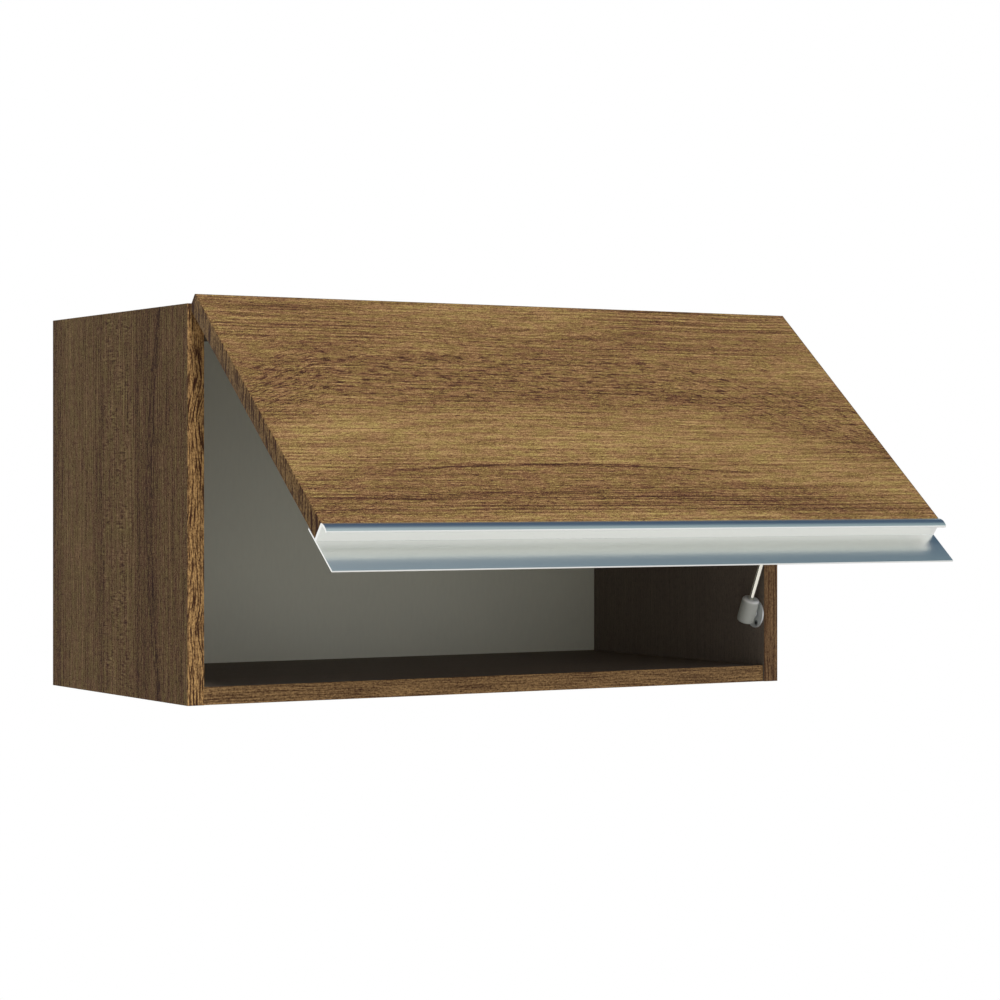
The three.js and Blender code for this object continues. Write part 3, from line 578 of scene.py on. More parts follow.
class Shader:
    """The nodes of a new material, or of a world, filled by code."""

    def __init__(self, name="", world=None):
        self.owner = world or bpy.data.materials.new(name)
        self.owner.use_nodes = True
        self.tree = self.owner.node_tree
        self.tree.nodes.clear()

    def add(self, kind, settings=None, inputs=None, output=0):
        """Adds a node with its settings and its inputs' values or links, and returns an output."""
        node = self.tree.nodes.new(kind)
        for key, value in (settings or {}).items():
            setattr(node, key, value)
        for key, value in (inputs or {}).items():
            if isinstance(value, Value):
                self.tree.links.new(value.socket, node.inputs[key])
            else:
                node.inputs[key].default_value = value
        return Value(self, node.outputs[output]) if node.outputs else None

    def measure(self, direction, origin=(0, 0, 0)):
        """Millimetres along a direction from a point, on Object coordinates."""
        spot = self.add("ShaderNodeTexCoord", output="Object")
        scaled = Vector(direction).normalized() / MM
        along = self.add(
            "ShaderNodeVectorMath", {"operation": "DOT_PRODUCT"}, {0: spot, 1: scaled}, "Value"
        )
        return along - scaled.dot(Vector(origin))

    def noise(self, x, y, seed=0.0, detail=2.0, roughness=0.5):
        """Noise from about 0.2 to 0.8 on a plane of numbers, its blobs about one unit wide."""
        spot = self.add("ShaderNodeCombineXYZ", inputs={0: x, 1: y, 2: seed})
        return self.add(
            "ShaderNodeTexNoise", {"noise_dimensions": "3D"},
            {"Vector": spot, "Scale": 1.0, "Detail": detail, "Roughness": roughness},
        )

    def ramp(self, factor, stops):
        """A colour that follows (place, colour) stops."""
        shade = self.add("ShaderNodeValToRGB", inputs={"Fac": factor})
        elements = shade.socket.node.color_ramp.elements
        while len(elements) < len(stops):
            elements.new(1)
        for element, (spot, tone) in zip(elements, stops):
            element.position = spot
            element.color = (*tone, 1)
        return shade

    def mix(self, factor, first, second):
        """A colour between two."""
        first, second = (c if isinstance(c, Value) else (*c, 1) for c in (first, second))
        return self.add(
            "ShaderNodeMix", {"data_type": "RGBA"}, {0: factor, 6: first, 7: second}, output=2
        )

    def shades(self, factor, base, dark, light):
        """A colour between two shares of itself, neither over 1."""
        first, second = ([min(c, 1) for c in Vector(base) * share] for share in (dark, light))
        return self.mix(factor, first, second)

    def rays(self, *kinds):
        """1 for a ray of one of the kinds, else 0."""
        path = self.add("ShaderNodeLightPath")
        return sum(path.other(f"Is {kind} Ray") for kind in kinds).at_most(1.0)

    def surface(self, relief=None, strength=0.0, depth=0.0, **inputs):
        """Writes a principled surface, with a relief some millimetres deep, and gives its owner."""
        ready = {key.replace("_", " "): value for key, value in inputs.items()}
        if relief is not None:
            ready["Normal"] = self.add("ShaderNodeBump", inputs={
                "Height": relief, "Strength": strength, "Distance": depth * MM,
            })
        skin = self.add("ShaderNodeBsdfPrincipled", inputs=ready)
        self.add("ShaderNodeOutputMaterial", inputs={"Surface": skin})
        return self.owner


# ---------- Finishes ----------
class Grain:
    """The fine structure of all the printed wood: fibres, lines, ribs, bands, pores and grit."""

    def __init__(self, shader, along, across, seed):
        sway = shader.noise(along / 170, across / 75, seed, detail=1) - 0.5
        self.level = across + sway * 9
        short = shader.noise(along / 9, self.level / 1.1, seed + 11)
        long = shader.noise(along / 55, self.level / 1.25, seed + 13)
        self.fibre = short * 0.5 + long * 0.65 - 0.575
        self.lines = shader.noise(along / 130, self.level / 3.4, seed + 23, detail=3) - 0.5
        self.ribs = (self.level * (2 * math.pi / 4.3) + self.lines * 7).sine()
        self.hue = shader.noise(along / 20, self.level / 6, seed + 59).rise(0.36, 0.64)
        self.bands = shader.noise(along / 420, self.level / 36, seed + 37, detail=1) - 0.5
        self.pores = shader.noise(along / 5, across / 1.1, seed + 41).rise(0.53, 0.64)
        self.flecks = shader.noise(along / 3.4, across / 1.1, seed + 47, detail=1).rise(0.52, 0.66)
        self.grit = shader.noise(along / 1.2, across / 1.1, seed + 53, detail=1) - 0.5

    def tone(self, fibre=1.25, lines=0.55, bands=0.22, pores=0.22, flecks=0.18, grit=1.05):
        """0.5 in the middle, more where the wood is lighter."""
        return (
            self.fibre * fibre + self.lines * lines + self.bands * bands + self.ribs * 0.045
            - self.pores * pores + self.flecks * flecks + self.grit * grit + 0.53
        )


def tinted(stops, *tints):
    """(place, colour) stops with every colour times the tints."""
    return [
        (spot, [c * math.prod(shares) for c, *shares in zip(wood, *tints)]) for spot, wood in stops
    ]


def laminate(shader, shade, tone, roughness, specular=0.14):
    """A printed surface with a fine relief that follows its tone."""
    return shader.surface(
        tone, 0.2, 0.12, Base_Color=shade, Roughness=roughness, Specular_IOR_Level=specular
    )


OLIVE = (0.96, 1.02, 0.88)
RUDDY = (1.04, 0.97, 1.06)


def wood_laminate(shader, finishes, grain, tone, tint_and_shade=(1, 1, 1)):
    """Colours a tone from 0, darkest, over 0.5 to 1, lightest, as matt printed wood."""
    stops = (
        (0.0, finishes.wood_dark), (0.28, finishes.wood_brown),
        (0.52, finishes.wood_mid), (0.95, finishes.wood_gold),
    )
    olive, ruddy = (shader.ramp(tone, tinted(stops, tint_and_shade, hue)) for hue in (OLIVE, RUDDY))
    return laminate(shader, shader.mix(grain.hue, olive, ruddy), tone, 0.78 - tone * 0.16)


def flap_wood(finishes):
    """The flap's decor: grain along X, its figure mirrored about a line left of the middle."""
    shader = Shader("wood_flap")
    low = extent("flap_panel", OPENED)[0]
    corner = OPENED @ Vector((low.x, low.y, extent("flap_top_edge_band", OPENED)[1].z))
    along = shader.measure(X, corner)
    across = shader.measure(OPENED.to_3x3() @ Vector((0, 0, -1)), corner)
    grain = Grain(shader, along, across, 3.0)
    away = abs(along - 248)
    lean = (away - 175).at_least(0) * 0.38
    wobble = (shader.noise(along / 24, across / 8, 71) - 0.5) * 8
    figure = across - lean + wobble * 0.6

    # Broken dark streaks, thickest in one zone.
    broken = shader.noise(along / 13, figure / 1.8, 83, detail=3, roughness=0.6)
    height = figure / 290
    share = height.follow(
        (0.0, 0.22), (0.12, 0.45), (0.24, 0.5), (0.27, 1.0), (0.42, 1.0), (0.5, 0.4), (0.55, 0.08),
        (0.7, 0.05), (0.77, 0.35), (0.85, 0.4), (0.9, 0.55), (0.96, 0.2),
    )
    streaks = broken.rise(0.53, 0.59) * share
    base = height.follow(
        (0.0, 0.52), (0.2, 0.5), (0.26, 0.46), (0.45, 0.46), (0.52, 0.53), (0.68, 0.58),
        (0.75, 0.52), (0.88, 0.46), (0.94, 0.48), (0.97, 0.56),
    )
    # A lone dark line over a soft shadow.
    brow = across - away * away * 0.00034 + wobble * 0.25
    line = brow.bell(219, 1.2) * (1 - away.rise(110, 195)) * broken.rise(0.34, 0.5)
    shadow = brow.rise(217, 221) * (1 - brow.rise(222, 246)) * (1 - away.rise(60, 190))
    # Long thin dark lines near the lower edge and at the top.
    thin = shader.noise(along / 300, grain.level / 2.2, 97)
    lower = across.rise(240, 258) * (1 - across.rise(278, 284))
    upper = 1 - across.rise(52, 70)
    lines = thin.rise(0.52, 0.59) * (lower + upper * away.rise(40, 160) * 0.75)

    tone = grain.tone() + base - 0.52
    tone = tone - streaks * 0.38 - line * 0.45 - shadow * 0.09 - lines * 0.28
    return wood_laminate(shader, finishes, grain, tone)


def side_wood(finishes):
    """The sides' decor: grain along Z, with a cross-hatched strip and a dark figured one, its
    colour darkened as painted shade.
    """
    shader = Shader("wood_side")
    corner = extent("left_side_panel")[1]
    along = shader.measure((0, 0, -1), corner)
    across = shader.measure((0, -1, 0), corner)
    grain = Grain(shader, along, across, 19.0)
    base = (across / 290).follow(
        (0.0, 0.42), (0.06, 0.48), (0.09, 0.6), (0.2, 0.56), (0.33, 0.5), (0.39, 0.42),
        (0.41, 0.53), (0.62, 0.54), (0.635, 0.41), (0.78, 0.4), (0.83, 0.5),
    )
    # The hatching: short strokes across the grain, in clusters.
    hatched = across.rise(112, 118) * (1 - across.rise(174, 184))
    clusters = shader.noise(along / 24, across / 15, 61)
    ticks = shader.noise(along / 1.7, across / 10, 67, detail=1) - 0.5
    ticks = hatched * ticks * clusters.rise(0.4, 0.6)
    # The figure: three broken curves.
    away = abs(along - 168)
    wobble = (shader.noise(along / 16, across / 12, 73) - 0.5) * 9
    broken = shader.noise(along / 9, across / 1.8, 79).rise(0.4, 0.52)
    first = (across - away * away * 0.0009 + wobble).bell(208, 1.5)
    second = (across - away * away * 0.0006 + wobble * 1.4).bell(218, 1.6)
    third = (across + wobble).bell(190, 1.2) * 0.6
    figure = (first + second + third) * broken
    # Long dark lines near the back.
    rear = (1 - across.rise(26, 50)) * shader.noise(along / 200, across / 2.2, 89).rise(0.52, 0.62)
    tone = (grain.tone(bands=0.1) - 0.52) * 1.3 + base
    tone = tone + ticks * 1.4 - figure * 0.38 - rear * 0.2
    # The sides' darker, bluer tint is painted shade for faces turned away from the light.
    return wood_laminate(shader, finishes, grain, tone, tint_and_shade=(0.61, 0.595, 0.645))


def level_wood(finishes):
    """The top's and bottom's decor: plain grain along X."""
    shader = Shader("wood_level")
    grain = Grain(shader, shader.measure(X), shader.measure(Y), 31.0)
    return wood_laminate(shader, finishes, grain, grain.tone(lines=0.65, bands=0.6))


def inside_wood(finishes):
    """The decor of the faces inside the carcass: grain along Z or X, across Y, duller and greyer
    than outside as painted shade.
    """
    shader = Shader("wood_inside")
    along = shader.measure((1, 0, 1)) * math.sqrt(2)
    tone = Grain(shader, along, shader.measure(Y), 43.0).tone(pores=0.4)
    # A duller, flatter copy of the decor: painted shade inside the carcass.
    shade = shader.shades(tone, finishes.inside, 0.75, 1.25)
    return laminate(shader, shade, tone, 0.78 - tone * 0.12)


# The darker tints of the right, level and flap end bands are painted shade, for bands that lie in
# shade.
BANDS = {  # finish: name, along, across, flames' length and width, sway, contrast, tint and shade, speckle
    "left_band": ("band_left", Z, X, (22, 1.5), 20, 1.0, (1.05, 1.05, 1.05), 1.0),
    "right_band": ("band_right", Z, X, (45, 1.6), 8, 0.55, (0.57, 0.56, 0.66), 0.6),
    "level_band": ("band_level", X, Z, (60, 1.3), 5, 0.4, (0.76, 0.77, 0.83), 0.8),
    "flap_end_band": ("band_flap_end", Z, Y, (30, 2.6), 6, 1.0, (0.62, 0.62, 0.6), 1.0),
}


def band_wood(finishes, name, along, across, flame, sway, contrast, tint_and_shade, speckle):
    """An edge band's decor: dark flames on a golden ground."""
    shader = Shader(name)
    along = shader.measure(along)
    across = shader.measure(across)
    slant = across + (shader.noise(along / 62, across / 40, 5, detail=1) - 0.5) * sway
    flames = shader.noise(along / flame[0], slant / flame[1], 7, detail=3, roughness=0.62)
    flecks = shader.noise(along / 4, slant / 1.3, 13, detail=1) - 0.5
    grit = shader.noise(along / 1.6, across / 1.4, 17, detail=1) - 0.5
    tone = (flecks * 1.2 + grit * 1.1) * speckle - (flames - 0.5) * 0.9 + 0.68
    stops = ((0.0, finishes.band_dark), (0.4, finishes.wood_brown), (1.0, finishes.band_gold))
    # The tint darkens some bands as painted shade.
    ground = shader.ramp(tone, tinted(stops, tint_and_shade))
    shade = shader.mix(flames.rise(0.49, 0.6) * contrast, ground, finishes.band_dark)
    return laminate(shader, shade, tone, 0.74 - tone * 0.12, 0.16)


def chipboard(finishes):
    """Bare cut edges and holes in the boards."""
    shader = Shader("chipboard")
    spot = shader.add("ShaderNodeTexCoord", output="Object")
    chips = shader.add(
        "ShaderNodeTexVoronoi", {"feature": "F1"}, {"Vector": spot, "Scale": 620.0}, output="Color"
    )
    split = shader.add("ShaderNodeSeparateColor", inputs={"Color": chips})
    dust = shader.add("ShaderNodeTexNoise", inputs={"Vector": spot, "Scale": 900.0, "Detail": 3.0})
    tone = split * 0.7 + dust * 0.5 - 0.1
    shade = shader.mix(tone, finishes.chip_dark, finishes.chip_light)
    return shader.surface(tone, 0.5, 0.2, Base_Color=shade, Roughness=0.9)


def hardboard_face(finishes):
    """The painted inner face of the back."""
    shader = Shader("hardboard_paint")
    along, up = shader.measure(X), shader.measure(Z)
    clouds = shader.noise(along / 130, up / 90, 2) - 0.5
    roller = shader.noise(along / 3, up / 14, 4) - 0.5
    orange_peel = shader.noise(along / 0.8, up / 0.8, 6, detail=1)
    shade = shader.shades(clouds * 0.4 + roller * 0.35 + 0.5, finishes.back_face, 0.86, 1.08)
    return shader.surface(orange_peel, 0.15, 0.05, Base_Color=shade, Roughness=0.6 + roller * 0.1)


def hardboard_rear(finishes):
    """The bare rear face of the back: pressed fibre with the print of a wire screen."""
    shader = Shader("hardboard_fibre")
    along, up = shader.measure(X), shader.measure(Z)
    screen = (along * 3.2).sine() * (up * 3.2).sine()
    fibre = shader.noise(along / 3, up / 3, 8, detail=4, roughness=0.7)
    clouds = shader.noise(along / 60, up / 60, 9)
    tone = fibre * 0.7 + clouds * 0.4 + screen * 0.06 - 0.05
    shade = shader.shades(tone, finishes.back_fibre, 0.55, 1.5)
    return shader.surface(screen * 0.4 + fibre, 0.5, 0.2, Base_Color=shade, Roughness=0.85)


def metal(name, base, along, roughness, lines=0.4, spots=0.0):
    """Plated, drawn or polished metal with fine lines along a direction."""
    shader = Shader(name)
    along = Vector(along)
    aside = along.orthogonal()
    run, across, deep = (shader.measure(way) for way in (along, aside, along.cross(aside)))
    drawing = shader.noise(run / 90, across / 0.35 + deep / 0.35, 3) - 0.5
    clouds = shader.noise(run / 14, across / 9 + deep / 11, 5) - 0.5
    shade = shader.shades(drawing * 0.25 * lines + clouds * spots + 0.5, base, 0.9, 1.08)
    return shader.surface(
        drawing, 0.06 * lines, 0.02, Base_Color=shade, Metallic=1.0,
        Roughness=roughness + drawing * 0.1 * lines + clouds * 0.2 * spots,
    )


def lacquer(finishes):
    """The strut's lacquered tube."""
    shader = Shader("tube_lacquer")
    along, across = shader.measure(STRUT_AXIS), shader.measure(X)
    orange_peel = shader.noise(along / 1.6, across / 1.6, 3)
    scuffs = shader.noise(along / 30, across / 1.2, 5, detail=3).rise(0.6, 0.72)
    return shader.surface(
        orange_peel, 0.12, 0.05, Roughness=0.34 + scuffs * 0.18, Coat_Weight=0.3 - scuffs * 0.2,
        Base_Color=shader.mix(scuffs * 0.3, finishes.tube, (0.12, 0.12, 0.125)),
    )


def plastic(finishes):
    """The strut's moulded sockets, the rod's one with a painted highlight on its shoulder."""
    shader = Shader("socket_plastic")
    along, across = shader.measure(STRUT_AXIS), shader.measure(X)
    deep = shader.measure(STRUT_AXIS.cross(Vector(X)))
    erosion = shader.noise(along / 0.5, across / 0.5 + deep / 0.5, 3)
    clouds = shader.noise(along / 9, across / 7 + deep / 7, 5)
    # A pale ring round the rod socket's shoulder: a painted highlight.
    shoulder = extent("strut_rod_socket", LEANING)[1].z - 1.1 * MM
    painted_highlight = shader.measure(STRUT_AXIS, LEANING @ Vector((0, 0, shoulder))).bell(0, 1.3)
    shade = shader.shades(clouds, finishes.plastic, 0.82, 1.12)
    shade = shader.mix(painted_highlight * 0.7, shade, (0.9, 0.9, 0.86))
    return shader.surface(erosion, 0.2, 0.05, Base_Color=shade, Roughness=0.3 + erosion * 0.14)


SLOTS = {  # finish: the slot of the pieces that wear it, where that isn't a band's
    "aluminium": "anodised_aluminium",
    "zinc": "zinc_plated_steel",
    "nickel": "nickel_plated_steel",
    "rod": "polished_rod",
    "tube": "dark_tube",
    "plastic": "grey_plastic",
}
FINISHES = {}


def mix_finishes(finishes):
    """Makes every finish once, under the name that the pieces call it by."""
    FINISHES.update({name: band_wood(finishes, *look) for name, look in BANDS.items()})
    FINISHES.update(
        flap=flap_wood(finishes),
        side=side_wood(finishes),
        level=level_wood(finishes),
        inside=inside_wood(finishes),
        chipboard=chipboard(finishes),
        back=hardboard_face(finishes),
        back_rear=hardboard_rear(finishes),
        aluminium=metal("anodised_aluminium", finishes.aluminium, X, 0.3, 0.12),
        zinc=metal("zinc_plate", finishes.zinc, Z, 0.36, 0.4, 0.3),
        nickel=metal("nickel_plate", finishes.nickel, Z, 0.56, 0.2, 0.15),
        rod=metal("polished_rod", finishes.rod, STRUT_AXIS, 0.18, 0.2),
        tube=lacquer(finishes),
        plastic=plastic(finishes),
    )


# ---------- Screws, their holes and other room for fittings ----------
STEEL_PLAY = 0.1 * MM
HEADS = {  # part of a node's name: which way the head looks, before the placing
    "left_hanger_screw": (X, UPRIGHT),
    "right_hanger_screw": ((-1, 0, 0), UPRIGHT),
    "hinge_carcass_screw": ((0, 0, -1), UPRIGHT),
    "hinge_flap_screw": (Y, OPENED),
    "handle_screw": (Y, OPENED),
    "strut_plate_screw": ((-1, 0, 0), UPRIGHT),
    "strut_bracket_screw": (Y, OPENED),
}


def screws(*words):
    """The nodes of the screws whose name holds one of the words."""
    return [n for n in frame["nodes"] if "screw" in n and any(word in n for word in words)]


def screw_stand(node):
    """A screw's stand, with its head at the origin and +Z out of it, placing, length and radius."""
    look, placing = next(v for key, v in HEADS.items() if key in node)
    look = Vector(look)
    low, high = extent(node, placing)
    half = (high - low) / 2
    reach = abs(half.dot(look))
    stand = Matrix.Translation((low + high) / 2 + look * reach) @ aim(look)
    return stand, placing, 2 * reach, (half - look * half.dot(look)).length / math.sqrt(2)


def screw_rooms(play, *words):
    """Cutters for some screws' holes, before the placing of the body that the screws are in."""
    fittings = bpy.context.scene.cabinet_fittings
    shank = fittings.screw_shank + play
    rooms = []
    for node in screws(*words):
        stand, _, reach, head = screw_stand(node)
        room = turned(f"{node}_room", [
            (0, -reach - play), (shank, -reach - play), (shank, -fittings.head_height),
            (head + play, 0), (head + play, MM), (0, MM),
        ], steps=32)
        rooms.append(place(room, stand))
    return rooms


WEDGE_TAPER = (0.45, 0.7, 1)


def cross_cutters(arm, width, depth):
    """Two crossing wedges that cut a cross recess from z = 0 down."""
    cutters = []
    for turn in (0, math.pi / 2):
        wedge = block("recess_wedge", (-arm / 2, -width / 2, -depth), (arm / 2, width / 2, MM))
        with editing(wedge, "FACE"):
            pick(wedge, "faces", lambda f: f.normal.z < -0.5)
            bpy.ops.transform.resize(value=WEDGE_TAPER)
        cutters.append(place(wedge, Matrix.Rotation(turn, 4, "Z")))
    return cutters


def thread(core, outer, start, end, pitch):
    """(radius, height) points of a thread's ridges, from start down to end."""
    tops = [start - i * pitch for i in range(int((start - end) / pitch))]
    return [
        point for top in tops
        for point in ((core, top), (outer, top - pitch * 0.4), (core, top - pitch * 0.8))
    ]


def spots(*boards):
    """The endings of the names of the cams and bolts that all the boards share."""
    for level, _ in LEVELS:
        for side, _ in SIDES:
            if {level, side}.issuperset(boards):
                yield from (f"{level}_{side}_{depth}" for depth in DEPTHS)


def bolt_rooms(play, board):
    """Cutters for a board's bolts."""
    rooms = []
    for spot in spots(board):
        low, high = extent(f"bolt_{spot}")
        centre = (low + high) / 2
        rooms.append(drum(
            "bolt_hole", (high.z - low.z) / 2 + play,
            (low.x - play, centre.y, centre.z), (high.x + play, centre.y, centre.z),
        ))
    return rooms


def cam_rooms(play, board, level):
    """Cutters for a level's cams."""
    rooms = []
    for spot in spots(board):
        low, high = extent(f"cam_{spot}")
        x, y, _ = (low + high) / 2
        floor, face = (low.z, high.z) if level > 0 else (high.z, low.z)
        rooms.append(drum("cam_hole", (high.x - low.x) / 2 + play,
                          (x, y, floor - level * play), (x, y, face + level * MM)))
    return rooms


def mortises():
    """Cutters for the recesses that the knuckles lie in, in the shut flap."""
    play = bpy.context.scene.cabinet_boards.mortise_play
    deep = bpy.context.scene.cabinet_hinges.knuckle + play
    top = extent("flap_top_edge_band", OPENED)[1]
    cutters = []
    for side_name, _ in SIDES:
        low, high = extent(f"{side_name}_hinge_pin")
        cutters.append(block(
            f"{side_name}_mortise", (low.x - play, PIVOT.y - deep, PIVOT.z - deep),
            (high.x + play, top.y + MM, top.z + MM),
        ))
    return cutters


def hanger_hole(side_name, side):
    """The middle of the wall screw's hole, where the hanger's screw stands off the corner."""
    low, high = extent(f"{side_name}_hanger")
    screw_low, screw_high = extent(f"{side_name}_hanger_screw")
    off = high.y - (screw_low.y + screw_high.y) / 2
    return Vector(((high if side > 0 else low).x - side * off, high.y, (low.z + high.z) / 2))


# ---------- Operators ----------
class CABINET_OT_finishes(bpy.types.Operator):
    """Mix the finishes of all the pieces"""

    bl_idname = "cabinet.finishes"
    bl_label = "Finishes"

    def execute(self, context):
        mix_finishes(context.scene.cabinet_finishes)
        return {"FINISHED"}


class CABINET_OT_carcass_boards(bpy.types.Operator):
    """Model the sides, top and bottom, drilled for their fittings"""

    bl_idname = "cabinet.carcass_boards"
    bl_label = "Carcass boards"

    def board(self, name, node, finish, outward, rooms):
        """A board with its decor outside, bare chips at its edges and, inside, a duller copy of the
        decor that is painted shade.
        """
        arris = bpy.context.scene.cabinet_boards.arris
        board = cut(soften(block(name, *extent(node)), arris), *rooms)
        wear(board, finish, "chipboard", "inside")
        wear_inside(board, 1, lambda f: abs(f.normal.dot(outward)) < 0.3)
        wear_inside(board, 2, lambda f: f.normal.dot(outward) < -0.7)
        hand_over(board, "wood_laminate", node)

    def execute(self, context):
        play = context.scene.cabinet_boards.play
        for name, side in SIDES:
            rooms = bolt_rooms(play, name) + screw_rooms(play, f"{name}_hanger")
            if side > 0:
                rooms += screw_rooms(play, "strut_plate")
            self.board(f"{name}_side", f"{name}_side_panel", "side", Vector((side, 0, 0)), rooms)
        for name, level in LEVELS:
            rooms = bolt_rooms(play, name) + cam_rooms(play, name, level)
            if level > 0:
                rooms += screw_rooms(play, "hinge_carcass")
            self.board(f"{name}_board", f"{name}_panel", "level", Vector((0, 0, level)), rooms)
        return {"FINISHED"}


class CABINET_OT_edge_bands(bpy.types.Operator):
    """Model the edge bands of the carcass and the flap, their outer edges rounded"""

    bl_idname = "cabinet.edge_bands"
    bl_label = "Edge bands"

    FORWARD = (0, -1, 0)
    PIECES = (  # node, placing, which way its outer face looks, finish
        ("left_edge_band", UPRIGHT, FORWARD, "left_band"),
        ("right_edge_band", UPRIGHT, FORWARD, "right_band"),
        ("top_edge_band", UPRIGHT, FORWARD, "level_band"),
        ("bottom_edge_band", UPRIGHT, FORWARD, "level_band"),
        ("flap_top_edge_band", OPENED, Z, "level_band"),
        ("flap_left_edge_band", OPENED, (-1, 0, 0), "flap_end_band"),
        ("flap_right_edge_band", OPENED, X, "flap_end_band"),
    )

    def execute(self, context):
        for node, placing, outward, finish in self.PIECES:
            outward = Vector(outward)
            low, high = extent(node, placing)
            face = max(low.dot(outward), high.dot(outward))
            band = block(f"{node}_strip", low, high)
            round_off(band, context.scene.cabinet_boards.band_arris,
                      lambda e: near(middle(e).dot(outward), face), segments=3)
            if node == "flap_top_edge_band":
                cut(band, *mortises())
            deliver(band, finish, node, placing)
        return {"FINISHED"}


class CABINET_OT_back_panel(bpy.types.Operator):
    """Model the hardboard back with its two wall screw holes"""

    bl_idname = "cabinet.back_panel"
    bl_label = "Back"

    def execute(self, context):
        boards = context.scene.cabinet_boards
        low, high = extent("back_panel")
        sheet = soften(block("back_sheet", low, high), boards.arris)
        for side in SIDES:
            x, _, z = hanger_hole(*side)
            ends = (x, low.y - MM, z), (x, high.y + MM, z)
            cut(sheet, drum("wall_hole", boards.wall_hole, *ends, sides=40))
        wear(sheet, "back", "back_rear")
        wear_inside(sheet, 1, lambda f: f.normal.y > -0.5)
        hand_over(sheet, "hardboard", "back_panel")
        return {"FINISHED"}


class CABINET_OT_cam_fittings(bpy.types.Operator):
    """Model the cams and the bolts that hold the boards together"""

    bl_idname = "cabinet.cam_fittings"
    bl_label = "Cams and bolts"

    HEAD_END, NECK_END, SHANK_START = 2.6 * MM, 8.6 * MM, 9.4 * MM
    CHAMFER = 0.6 * MM
    THREAD_PLAY = 0.3 * MM  # between the thread's ridges and the shank's radius

    def cam(self, fittings):
        """A cam disc, its face at z = 0 and its bolt coming in along +X."""
        low, high = extent("cam_top_right_front")
        radius = (high.x - low.x) / 2
        bottom = low.z - high.z
        rim = fittings.cam_rim
        step = rim / 3
        disc = turned("cam", [
            (0, bottom), (radius - step, bottom), (radius, bottom + step), (radius, -4 * step),
            (radius - step, -3.5 * step), (radius - step, -2.5 * step), (radius, -2 * step),
            (radius, -step), (radius - step, 0), (radius - rim, 0), (radius - rim - step, -step),
            (0, -step),
        ], steps=40)
        bolt_low, bolt_high = extent("bolt_top_right_front")
        head = (bolt_high.z - bolt_low.z) / 2 + bpy.context.scene.cabinet_boards.play
        axis = (bolt_low.z + bolt_high.z) / 2 - high.z
        bore = drum("bore", head, (-head, 0, axis), (radius + MM, 0, axis))
        pointer = block("pointer", (radius - rim * 1.6, -step, -step), (radius + MM, step, MM))
        slot = cross_cutters(fittings.cam_arm, fittings.cam_slot, 2.2 * fittings.cam_slot)
        return cut(disc, bore, pointer, *slot)

    def bolt(self, fittings):
        """A bolt along +Z: its head, the neck that the cam grips, its shank and its thread."""
        low, high = extent("bolt_top_right_front")
        radius = (high.z - low.z) / 2
        reach = high.x - low.x
        into_side = extent("right_side_panel")[0].x - low.x
        core, neck = fittings.bolt_core, fittings.bolt_neck
        ridges = thread(core, radius - self.THREAD_PLAY, -into_side, -reach + MM, fittings.pitch)
        return turned("bolt", [
            (0, 0), (radius * 0.7, 0), (radius, self.CHAMFER), (radius, self.HEAD_END - MM / 2),
            (radius * 0.8, self.HEAD_END), (neck, self.HEAD_END), (neck, self.NECK_END),
            (radius, self.SHANK_START), (radius, into_side - 2 * self.CHAMFER),
            (core, into_side - self.CHAMFER),
            *[(ridge, -height) for ridge, height in ridges],
            (core * 0.6, reach), (0, reach),
        ], steps=32)

    def execute(self, context):
        fittings = context.scene.cabinet_fittings
        disc, pin = self.cam(fittings), self.bolt(fittings)
        for level_name, level in LEVELS:
            for side_name, side in SIDES:
                turn = Matrix.Rotation(0 if side > 0 else math.pi, 4, "Z")
                flip = Matrix.Rotation(0 if level > 0 else math.pi, 4, "X")
                for spot in spots(level_name, side_name):
                    low, high = extent(f"cam_{spot}")
                    x, y, _ = (low + high) / 2
                    stand = Matrix.Translation((x, y, high.z if level > 0 else low.z))
                    piece = twin(disc, f"cam_disc_{spot}")
                    deliver(piece, "zinc", f"cam_{spot}", stand @ turn @ flip)
                    low, high = extent(f"bolt_{spot}")
                    _, y, z = (low + high) / 2
                    stand = Matrix.Translation((low.x if side > 0 else high.x, y, z))
                    piece = twin(pin, f"cam_bolt_{spot}")
                    deliver(piece, "nickel", f"bolt_{spot}", stand @ aim((side, 0, 0)))
        bpy.data.objects.remove(disc)
        bpy.data.objects.remove(pin)
        return {"FINISHED"}


class CABINET_OT_hangers(bpy.types.Operator):
    """Model the two steel angles that the cabinet hangs on"""

    bl_idname = "cabinet.hangers"
    bl_label = "Hangers"

    ARRIS = 0.25 * MM

    def execute(self, context):
        hangers = context.scene.cabinet_hangers
        for side_name, side in SIDES:
            node = f"{side_name}_hanger"
            low, high = extent(node)
            corner, end = (high.x, low.x) if side > 0 else (low.x, high.x)
            faces = sorted((corner, corner - side * hangers.sheet))
            leg = block(f"{side_name}_angle", (faces[0], low.y, low.z), (faces[1], high.y, high.z))
            angle = join(leg, block("wall_leg", (low.x, high.y - hangers.sheet, low.z), high))
            round_off(angle, hangers.corner, lambda e: (
                same(e, "z") and (near(middle(e).z, low.z) or near(middle(e).z, high.z))
                and (near(middle(e).y, low.y) or near(middle(e).x, end))))
            x, y, z = hanger_hole(side_name, side)
            hole = drum("hole", hangers.hole, (x, y - 5 * MM, z), (x, y + MM, z))
            cut(angle, hole, *screw_rooms(STEEL_PLAY, node))
            soften(angle, self.ARRIS, sharper_than=50)
            deliver(angle, "zinc", node)
        return {"FINISHED"}


